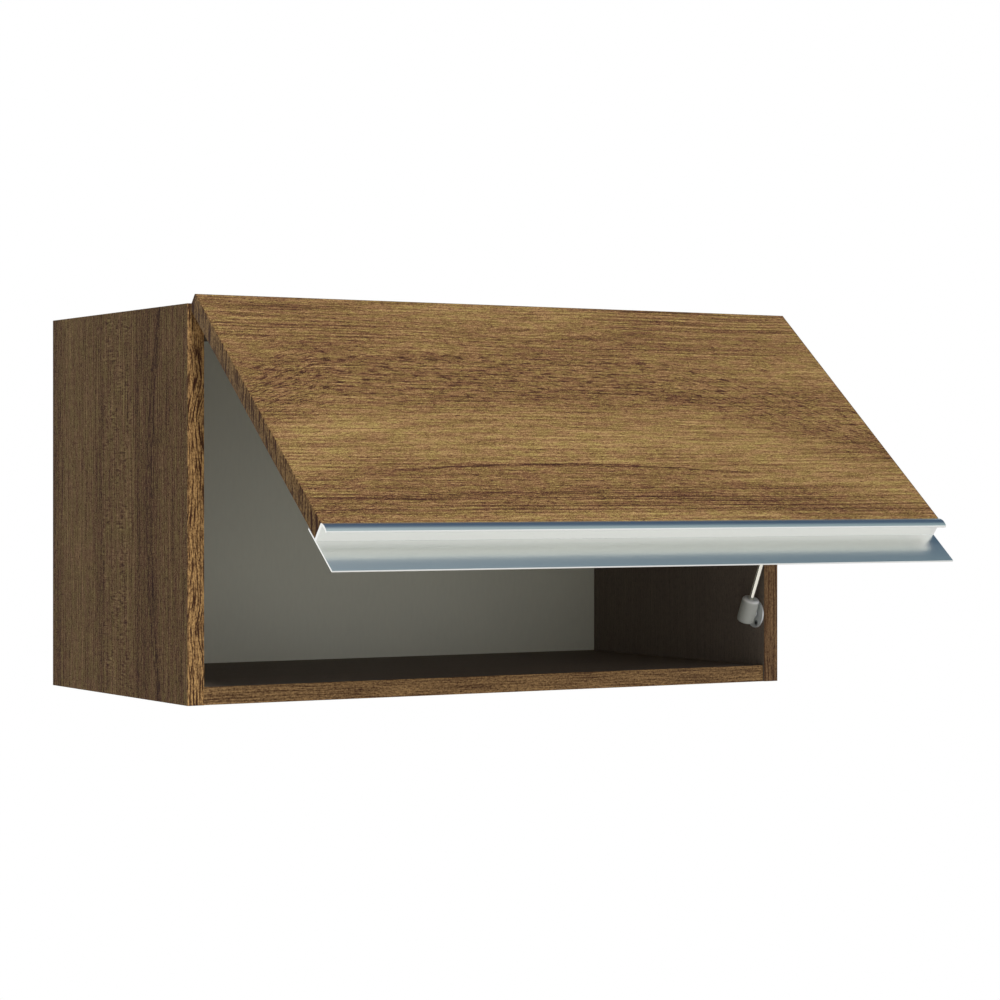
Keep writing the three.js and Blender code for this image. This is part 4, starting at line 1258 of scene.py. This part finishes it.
class CABINET_OT_hinges(bpy.types.Operator):
    """Model the two wrap-around hinges and their pins"""

    bl_idname = "cabinet.hinges"
    bl_label = "Hinges"

    CORNER, ROUGHLY = 5 * MM, 0.3 * MM
    ROLLED_TO, ROLL_STEPS = 400, 16  # degrees
    LEG = 8 * MM  # the carcass leaf's, in front of the top
    SHEET_END, CURL_START = 3.2 * MM, 6 * MM  # the flap leaf's, below the pivot
    CARCASS_BEND, FLAP_BEND = 1.2 * MM, 0.8 * MM
    PIN_HEAD, PIN_CHAMFER = 0.9 * MM, 0.4 * MM

    def curl(self, hinges, bend, flat, foot, side, start, end):
        """A knuckle on the sheet that lies at y = flat: side is +1 over the pivot, -1 under it."""
        roll = hinges.knuckle - hinges.sheet / 2
        turn = arc((PIVOT.y, PIVOT.z), roll, side * 90, side * self.ROLLED_TO, self.ROLL_STEPS)
        edge = PIVOT.z + side * roll
        path = [(flat, foot), (flat, edge), (PIVOT.y, edge), *turn[1:]]
        return strip("curl", path, start, end - start, {1: bend}, hinges.sheet)

    def carcass_leaf(self, hinges, side_name, centre):
        node = f"{side_name}_hinge_carcass_leaf"
        low, high = extent(node)
        half = hinges.sheet / 2
        flat, under = extent("top_panel")[0].y - half, low.z + half
        path = [(high.y, under), (flat, under), (flat, low.z + self.LEG)]
        plate = strip(f"{side_name}_carcass_leaf", path, low.x, high.x - low.x,
                      {1: hinges.bend}, hinges.sheet)
        start = centre - hinges.middle / 2
        end = start + hinges.middle
        foot = low.z + self.LEG / 2
        join(plate, self.curl(hinges, self.CARCASS_BEND, flat, foot, 1, start, end))
        round_off(plate, self.CORNER, lambda e: (
            near(middle(e).y, high.y, self.ROUGHLY) and same(e, "x") and not same(e, "z")))
        cut(plate, *screw_rooms(STEEL_PLAY, f"{side_name}_hinge_carcass"))
        deliver(plate, "nickel", node)

    def flap_leaf(self, hinges, side_name, centre):
        node = f"{side_name}_hinge_flap_leaf"
        low, high = extent(node, OPENED)
        flat = high.y - hinges.sheet / 2
        path = [(flat, low.z), (flat, PIVOT.z - self.SHEET_END)]
        leaf = strip(f"{side_name}_flap_leaf", path, low.x, high.x - low.x, {}, hinges.sheet)
        inner = hinges.middle / 2 + hinges.knuckle_play
        for start, end in ((low.x, centre - inner), (centre + inner, high.x)):
            foot = PIVOT.z - self.CURL_START
            join(leaf, self.curl(hinges, self.FLAP_BEND, flat, foot, -1, start, end))
        round_off(leaf, self.CORNER, lambda e: (
            near(middle(e).z, low.z, self.ROUGHLY) and same(e, "x") and not same(e, "y")))
        cut(leaf, *screw_rooms(STEEL_PLAY, f"{side_name}_hinge_flap"))
        deliver(place(leaf, OPENED), "nickel", node)

    def pin(self, hinges, side_name, centre):
        node = f"{side_name}_hinge_pin"
        low, high = extent(node)
        tip = (high.x - low.x) / 2
        head = (high.z - low.z) / 2
        inner, edge = tip - self.PIN_HEAD, tip - self.PIN_CHAMFER
        ends = [(0, tip), (head * 0.7, tip), (head, edge), (head, inner), (hinges.pin, inner)]
        profile = [(radius, -height) for radius, height in ends] + ends[::-1]
        pin = turned(f"{side_name}_pin", profile, steps=24)
        stand = Matrix.Translation((centre, PIVOT.y, PIVOT.z))
        deliver(pin, "nickel", node, stand @ Matrix.Rotation(math.pi / 2, 4, "Y"))

    def execute(self, context):
        hinges = context.scene.cabinet_hinges
        for side_name, _ in SIDES:
            low, high = extent(f"{side_name}_hinge_carcass_leaf")
            centre = (low.x + high.x) / 2
            for model in (self.carcass_leaf, self.flap_leaf, self.pin):
                model(hinges, side_name, centre)
        return {"FINISHED"}


class CABINET_OT_flap_panel(bpy.types.Operator):
    """Model the flap's board, with its mortises and screw holes"""

    bl_idname = "cabinet.flap_panel"
    bl_label = "Flap"

    def execute(self, context):
        boards = context.scene.cabinet_boards
        low, high = extent("flap_panel", OPENED)
        board = soften(block("flap_board", low, high), boards.arris)
        rooms = screw_rooms(boards.play, "hinge_flap", "handle_screw", "strut_bracket")
        wear(cut(board, *mortises(), *rooms), "flap", "chipboard")
        wear_inside(board, 1, lambda f: abs(f.normal.y) < 0.3 or (
            near(f.normal.y, 1, 1e-3) and not near(f.center.y, high.y)))
        hand_over(place(board, OPENED), "wood_laminate", "flap_panel")
        return {"FINISHED"}


class CABINET_OT_handle_profile(bpy.types.Operator):
    """Model the drawn aluminium profile along the flap's lower edge"""

    bl_idname = "cabinet.handle_profile"
    bl_label = "Handle profile"

    SEAT_EDGE = 0.3 * MM
    TIP_SHARE = 0.42  # of the lip's thickness, taken up by each rounding of its tip

    def execute(self, context):
        handle = context.scene.cabinet_handle
        flap = extent("flap_panel", OPENED)[0]
        low, high = extent("handle_profile", OPENED)
        web_top = flap.z - handle.seat_gap
        web_under = web_top - handle.seat
        tip = flap.z - handle.lip_drop
        rear = high.y
        flange_front = rear - handle.flange_wall
        flange_top = flap.z + handle.flange_rise
        flange_foot = flap.z - handle.flange_drop
        centre = (flap.y - handle.lip_reach + handle.lip_radius, flap.z - handle.lip_crown)

        def lip(radius, start, end, steps):
            """The lip's outer or inner face, from one height to another."""
            angles = [180 - math.degrees(math.asin((z - centre[1]) / radius)) for z in (start, end)]
            return arc(centre, radius, *angles, steps)

        outer = lip(handle.lip_radius, web_top, tip, 14)
        inner = lip(handle.lip_radius - handle.lip_wall, tip, web_under, 12)
        recess = (flange_front, web_under)
        ends = [(flange_front, flange_foot), (rear, flange_foot),
                (rear, flange_top), (flange_front, flange_top)]
        profile = drawn("handle", [*outer, *inner, recess, *ends, (flange_front, web_top)],
                        low.x, high.x - low.x)
        tip_round = handle.lip_wall * self.TIP_SHARE
        for point, radius, segments in (
            (outer[0], self.SEAT_EDGE, 3), (outer[-1], tip_round, 5), (inner[0], tip_round, 5),
            (recess, handle.fillet, 8), (inner[-1], handle.arris, 3),
            *[(point, handle.arris, 3) for point in ends],
        ):
            round_off(profile, radius, along_x(*point), segments)
        cut(profile, *screw_rooms(STEEL_PLAY, "handle_screw"))
        deliver(profile, "aluminium", "handle_profile", OPENED)
        return {"FINISHED"}


class CABINET_OT_gas_strut(bpy.types.Operator):
    """Model the gas strut: rod, tube and the two ball sockets"""

    bl_idname = "cabinet.gas_strut"
    bl_label = "Gas strut"

    ROD_PLAY = 0.3 * MM
    CHAMFER = 0.3 * MM
    CRIMP = 1.8 * MM  # rounding of the tube's ends
    FOOT_ROUND = 1.2 * MM  # of the tube's socket
    TUBE_BEAD = (6 * MM, 8 * MM, 0.7 * MM, 0.5 * MM)  # start, end, slope, depth
    SOCKET_BEAD = (3 * MM, 6 * MM, 1 * MM, 0.6 * MM)
    LOWER, UPPER = 1, -1

    def rounded(self, radius, end, which, rounding, steps=6):
        """(radius, height) points, going up, of a LOWER or UPPER end with a rounded edge."""
        angles = [math.pi / 2 * i / steps for i in range(steps + 1)]
        return [
            (radius - rounding * (1 - math.cos(a)), end + which * rounding * (1 - math.sin(a)))
            for a in angles
        ][::-which]

    def bead(self, radius, foot, start, end, slope, depth):
        """(radius, height) points, going up, of a groove rolled into a side."""
        return [(radius, foot + start), (radius - depth, foot + start + slope),
                (radius - depth, foot + end - slope), (radius, foot + end)]

    def rod_socket(self, strut, bore, reach):
        low, high = extent("strut_rod_socket", LEANING)
        dish = strut.dish
        socket = turned("rod_socket", [
            (0, low.z), *self.rounded(high.x, low.z, self.LOWER, strut.socket_round),
            *self.rounded(high.x, high.z, self.UPPER, strut.socket_round),
            (bore + dish * 1.2, high.z), (bore + dish * 0.5, high.z - dish * 0.4),
            (bore, high.z - dish), (0, high.z - dish),
        ])
        foot = extent("strut_rod", LEANING)[0].z - self.ROD_PLAY
        seat = drum("seat", bore, (0, 0, foot), (0, 0, high.z + MM))
        cut(socket, seat, drum("mouth", reach, (-reach, 0, 0), (high.x + MM, 0, 0)))
        deliver(socket, "plastic", "strut_rod_socket", LEANING)

    def rod(self, strut):
        """The rod with its piston, which has a groove for a seal."""
        low, high = extent("strut_rod", LEANING)
        groove = strut.piston - MM

        def down(share):
            return high.z - strut.piston_length * share

        rod = turned("rod", [
            (0, low.z), (strut.rod - self.CHAMFER, low.z), (strut.rod, low.z + self.CHAMFER),
            (strut.rod, down(1)), (strut.piston, down(1)), (strut.piston, down(0.6)),
            (groove, down(0.55)), (groove, down(0.35)), (strut.piston, down(0.3)),
            (strut.piston, high.z), (0, high.z),
        ])
        deliver(rod, "rod", "strut_rod", LEANING)

    def tube(self, strut, bore):
        """The tube, crimped at both ends, with the rod's guide in it."""
        low, high = extent("strut_tube", LEANING)
        inner, lip = high.x - strut.tube_wall, 0.5 * MM
        tube = turned("tube", [
            (0, high.z - strut.tube_wall), (inner, high.z - strut.tube_wall),
            (inner, low.z + strut.guide), (bore, low.z + strut.guide),
            (bore, low.z + lip), (bore + 2 * lip, low.z + lip), (bore + 1.4 * MM, low.z),
            *self.rounded(high.x, low.z, self.LOWER, self.CRIMP),
            *self.bead(high.x, low.z, *self.TUBE_BEAD),
            *self.rounded(high.x, high.z, self.UPPER, self.CRIMP), (0, high.z),
        ])
        deliver(tube, "tube", "strut_tube", LEANING)

    def tube_socket(self, strut, reach):
        low, high = extent("strut_tube_socket", LEANING)
        ball = high.z - high.x
        socket = turned("tube_socket", [
            (0, low.z), (high.x - 1.5 * MM, low.z),
            *self.rounded(high.x, low.z, self.LOWER, self.FOOT_ROUND),
            *self.bead(high.x, low.z, *self.SOCKET_BEAD),
            *self.rounded(high.x, high.z, self.UPPER, strut.socket_round), (0, high.z),
        ])
        cut(socket, drum("mouth", reach, (reach, 0, ball), (-high.x - MM, 0, ball)))
        deliver(socket, "plastic", "strut_tube_socket", LEANING)

    def execute(self, context):
        strut = context.scene.cabinet_strut
        bore = strut.rod + self.ROD_PLAY
        reach = strut.ball + strut.ball_play
        self.rod_socket(strut, bore, reach)
        self.rod(strut)
        self.tube(strut, bore)
        self.tube_socket(strut, reach)
        return {"FINISHED"}


class CABINET_OT_stud_plate(bpy.types.Operator):
    """Model the round steel plate with the ball stud"""

    bl_idname = "cabinet.stud_plate"
    bl_label = "Stud plate"

    BALL_STEPS = 14
    HOLLOW = 0.25 * MM
    NECK_FOOT = 0.3 * MM

    def execute(self, context):
        strut = context.scene.cabinet_strut
        low, high = extent("strut_stud_plate")
        radius = (high.z - low.z) / 2
        offset = high.x - low.x - strut.ball
        start = math.asin(strut.neck / strut.ball)
        angles = [start + (math.pi - start) * i / self.BALL_STEPS for i in range(self.BALL_STEPS)]
        ball = [(strut.ball * math.sin(a), offset - strut.ball * math.cos(a)) for a in angles]
        rim, face = strut.rim, strut.plate
        hollow = face - self.HOLLOW
        plate = turned("stud_plate", [
            (0, 0), (radius - rim * 0.3, 0), (radius, rim * 0.3), (radius, face - rim * 0.5),
            (radius - rim * 0.5, face), (radius - rim * 3, face), (radius - rim * 3.8, hollow),
            (strut.neck * 1.7, hollow), (strut.neck * 1.5, face + self.NECK_FOOT),
            (strut.neck, face + 2 * self.NECK_FOOT), *ball, (0, offset + strut.ball),
        ], steps=64)
        stand = Matrix.Translation((high.x, (low.y + high.y) / 2, (low.z + high.z) / 2))
        place(plate, stand @ aim((-1, 0, 0)))
        cut(plate, *screw_rooms(STEEL_PLAY, "strut_plate"))
        deliver(plate, "nickel", "strut_stud_plate")
        return {"FINISHED"}


class CABINET_OT_flap_bracket(bpy.types.Operator):
    """Model the angle on the flap that the strut's upper socket stands beside"""

    bl_idname = "cabinet.flap_bracket"
    bl_label = "Flap bracket"

    CORNER, ARRIS = 4 * MM, 0.3 * MM

    def execute(self, context):
        strut = context.scene.cabinet_strut
        low, high = extent("strut_flap_bracket", OPENED)
        sheet = strut.bracket_sheet
        ear_right = high.x - strut.boss
        centre = (high.y - strut.ear, (low.z + high.z) / 2)
        foot = block("bracket", low, (ear_right, low.y + sheet, high.z))
        round_off(foot, self.CORNER, lambda e: near(middle(e).x, low.x) and not same(e, "y"))
        ear = drawn("ear", [
            (low.y, centre[1] - strut.ear), *arc(centre, strut.ear, -90, 90, 18),
            (low.y, centre[1] + strut.ear),
        ], ear_right - sheet, sheet)
        boss = drum("boss", strut.ball, (ear_right - sheet, *centre), (high.x, *centre), 40)
        soften(join(foot, ear, boss), self.ARRIS, sharper_than=50)
        cut(foot, *screw_rooms(STEEL_PLAY, "strut_bracket"))
        deliver(foot, "nickel", "strut_flap_bracket", OPENED)
        return {"FINISHED"}


class CABINET_OT_screws(bpy.types.Operator):
    """Model every countersunk screw with its thread and the recess in its head"""

    bl_idname = "cabinet.screws"
    bl_label = "Screws"

    EDGE = 0.15 * MM  # of the head
    POINT, TIP = 2.5 * MM, 0.25 * MM  # the point's length and the radius it ends with
    RECESS = 1.3 * MM  # depth
    RUN_OUT = 0.4 * MM  # from the head to the thread's root

    def screw(self, fittings, reach, head, hexagonal):
        """A screw along -Z from its head; a hexagonal recess gets the dark tube lacquer inside, as
        painted shade.
        """
        neck = -fittings.head_height
        tip = self.POINT - reach
        shank, core, hexagon = fittings.screw_shank, fittings.screw_core, fittings.hexagon
        body = turned("screw", [
            (0, 0), (head - self.EDGE, 0), (head, -self.EDGE), (shank, neck),
            (core, neck - self.RUN_OUT), *thread(core, shank, neck - MM, tip, fittings.pitch),
            (core, tip), (self.TIP, -reach), (0, -reach),
        ], steps=24)
        if hexagonal:
            cut(body, drum("hexagon", hexagon, (0, 0, -self.RECESS), (0, 0, MM), 6))
        else:
            cut(body, *cross_cutters(fittings.recess, fittings.recess_width, self.RECESS))
        # The faces inside a hexagonal recess get the dark tube lacquer: painted shade in the
        # recess.
        wear(smooth(body), "zinc", "tube")
        if hexagonal:
            wear_inside(body, 1, lambda f: (
                -self.RECESS * 1.1 < f.center.z < -self.EDGE and f.center.xy.length < hexagon))
        return body

    def execute(self, context):
        masters = {}
        for node in screws(""):
            stand, placing, reach, head = screw_stand(node)
            key = (round(reach / MM, 1), "plate" in node)
            if key not in masters:
                masters[key] = self.screw(context.scene.cabinet_fittings, reach, head, key[1])
            piece = place(twin(masters[key], f"{node}_turned"), placing @ stand)
            hand_over(piece, "zinc_plated_steel", node)
        for master in masters.values():
            bpy.data.objects.remove(master)
        return {"FINISHED"}


class CABINET_OT_stage(bpy.types.Operator):
    """Set up the floor, the sky, the lamp and the camera"""

    bl_idname = "cabinet.stage"
    bl_label = "Studio"

    TARGET = (0, -0.3, 0)  # what the lamp looks at
    FLOOR_AT = (0, -0.2)
    HORIZON = ((0.0, (0.7, 0.7, 0.7)), (0.45, (1, 1, 0.99)), (0.63, (1, 1, 0.99)))
    SOFT_LIGHT = (
        (0.0, (0.8, 0.8, 0.8)), (0.5, (1, 1, 1)),
        (0.75, (0.9, 0.96, 1.12)), (1.0, (0.8, 0.93, 1.25)),
    )

    def floor(self, studio):
        bpy.ops.mesh.primitive_circle_add(
            vertices=96, radius=studio.floor_radius, fill_type="NGON",
            location=(*self.FLOOR_AT, CAD_BOX[0][2] - studio.floor_drop),
        )
        floor = named(bpy.context.object, "floor")
        shader = Shader("pale_floor")
        clouds = shader.noise(shader.measure(X) / 400, shader.measure(Y) / 400, 1)
        floor.data.materials.append(shader.surface(
            Base_Color=shader.shades(clouds, studio.floor, 0.97, 1), Roughness=clouds * 0.1 + 0.75,
            Emission_Color=shader.mix(
                shader.rays("Camera", "Glossy", "Transmission"), (0, 0, 0), (1, 1, 1)
            ),
            Emission_Strength=studio.floor_glow,
        ))

    def sky(self, context, studio):
        """White for the camera, a dark top over a white horizon for metal, else a soft light."""
        context.scene.world = bpy.data.worlds.new("studio_sky")
        shader = Shader(world=context.scene.world)
        spot = shader.add("ShaderNodeTexCoord", output="Generated")
        up = shader.add("ShaderNodeSeparateXYZ", inputs={0: spot}, output="Z")
        forward = up.other("Y") * -1.0
        height = up * 0.5 + 0.5
        top, panel = tuple(studio.sky_top), tuple(studio.sky_front)
        seen = shader.mix(
            forward.rise(0.04, 0.18),
            shader.ramp(height, (*self.HORIZON, (0.74, panel), (0.8, top), (1.0, top))),
            shader.ramp(height, (*self.HORIZON, (0.75, panel), (0.94, panel), (1.0, top))),
        )
        felt = shader.ramp(height, self.SOFT_LIGHT)
        front = forward.rise(0.45, 0.9) * (1 - abs(up).rise(0.12, 0.42))

        def glow(shade, strength):
            return shader.add("ShaderNodeBackground", inputs={"Color": shade, "Strength": strength})

        def choose(share, first, second):
            return shader.add("ShaderNodeMixShader", inputs={0: share, 1: first, 2: second})

        ambient = glow(felt, front * studio.front_light + studio.ambient)
        light = choose(shader.rays("Glossy"), ambient, glow(seen, 1.0))
        shown = choose(shader.rays("Camera", "Transmission"), light, glow((1, 1, 1, 1), 1.0))
        shader.add("ShaderNodeOutputWorld", inputs={"Surface": shown})

    def lamp(self, context, studio):
        towards = Vector(studio.key_direction).normalized()
        data = bpy.data.lights.new("key", "AREA")
        data.shape = "DISK"
        data.size = studio.key_size
        data.energy = studio.key_power
        lamp = bpy.data.objects.new("key", data)
        context.scene.collection.objects.link(lamp)
        lamp.location = Vector(self.TARGET) + towards * studio.key_distance
        lamp.rotation_euler = towards.to_track_quat("Z", "Y").to_euler()

    def camera(self, context, studio):
        data = bpy.data.cameras.new("camera")
        data.lens = studio.lens
        data.sensor_width = studio.sensor
        data.shift_x, data.shift_y = studio.shift
        data.clip_end = 50
        camera = bpy.data.objects.new("camera", data)
        context.scene.collection.objects.link(camera)
        camera.location = studio.camera
        camera.rotation_euler = (math.pi / 2, 0, -studio.azimuth)
        context.scene.camera = camera

    def execute(self, context):
        studio = context.scene.cabinet_studio
        self.floor(studio)
        self.sky(context, studio)
        self.lamp(context, studio)
        self.camera(context, studio)
        context.scene.view_settings.view_transform = "Standard"
        # The handle's groove reflects itself several times over.
        context.scene.cycles.glossy_bounces = 12
        return {"FINISHED"}


OPERATORS = (
    CABINET_OT_stage,
    CABINET_OT_finishes,
    CABINET_OT_carcass_boards,
    CABINET_OT_edge_bands,
    CABINET_OT_back_panel,
    CABINET_OT_cam_fittings,
    CABINET_OT_hangers,
    CABINET_OT_hinges,
    CABINET_OT_flap_panel,
    CABINET_OT_handle_profile,
    CABINET_OT_gas_strut,
    CABINET_OT_stud_plate,
    CABINET_OT_flap_bracket,
    CABINET_OT_screws,
)


class CABINET_PT_panel(bpy.types.Panel):
    """Lists the steps that make the cabinet"""

    bl_idname = "CABINET_PT_panel"
    bl_label = "Lift-up wall cabinet"
    bl_space_type = "VIEW_3D"
    bl_region_type = "UI"
    bl_category = "Cabinet"

    def draw(self, context):
        for operator in OPERATORS:
            self.layout.operator(operator.bl_idname)
        for group in SETTINGS:
            box = self.layout.box()
            box.label(text=group.replace("cabinet_", "").capitalize())
            settings = getattr(context.scene, group)
            for name in type(settings).__annotations__:
                box.prop(settings, name)


def register():
    for group, kind in SETTINGS.items():
        bpy.utils.register_class(kind)
        setattr(bpy.types.Scene, group, PointerProperty(type=kind))
    for kind in (*OPERATORS, CABINET_PT_panel):
        bpy.utils.register_class(kind)


def unregister():
    for kind in reversed((*OPERATORS, CABINET_PT_panel)):
        bpy.utils.unregister_class(kind)
    for group, kind in SETTINGS.items():
        delattr(bpy.types.Scene, group)
        bpy.utils.unregister_class(kind)


def main():
    register()
    for operator in OPERATORS:
        family, step = operator.bl_idname.split(".")
        getattr(getattr(bpy.ops, family), step)()


if __name__ == "__main__":
    main()
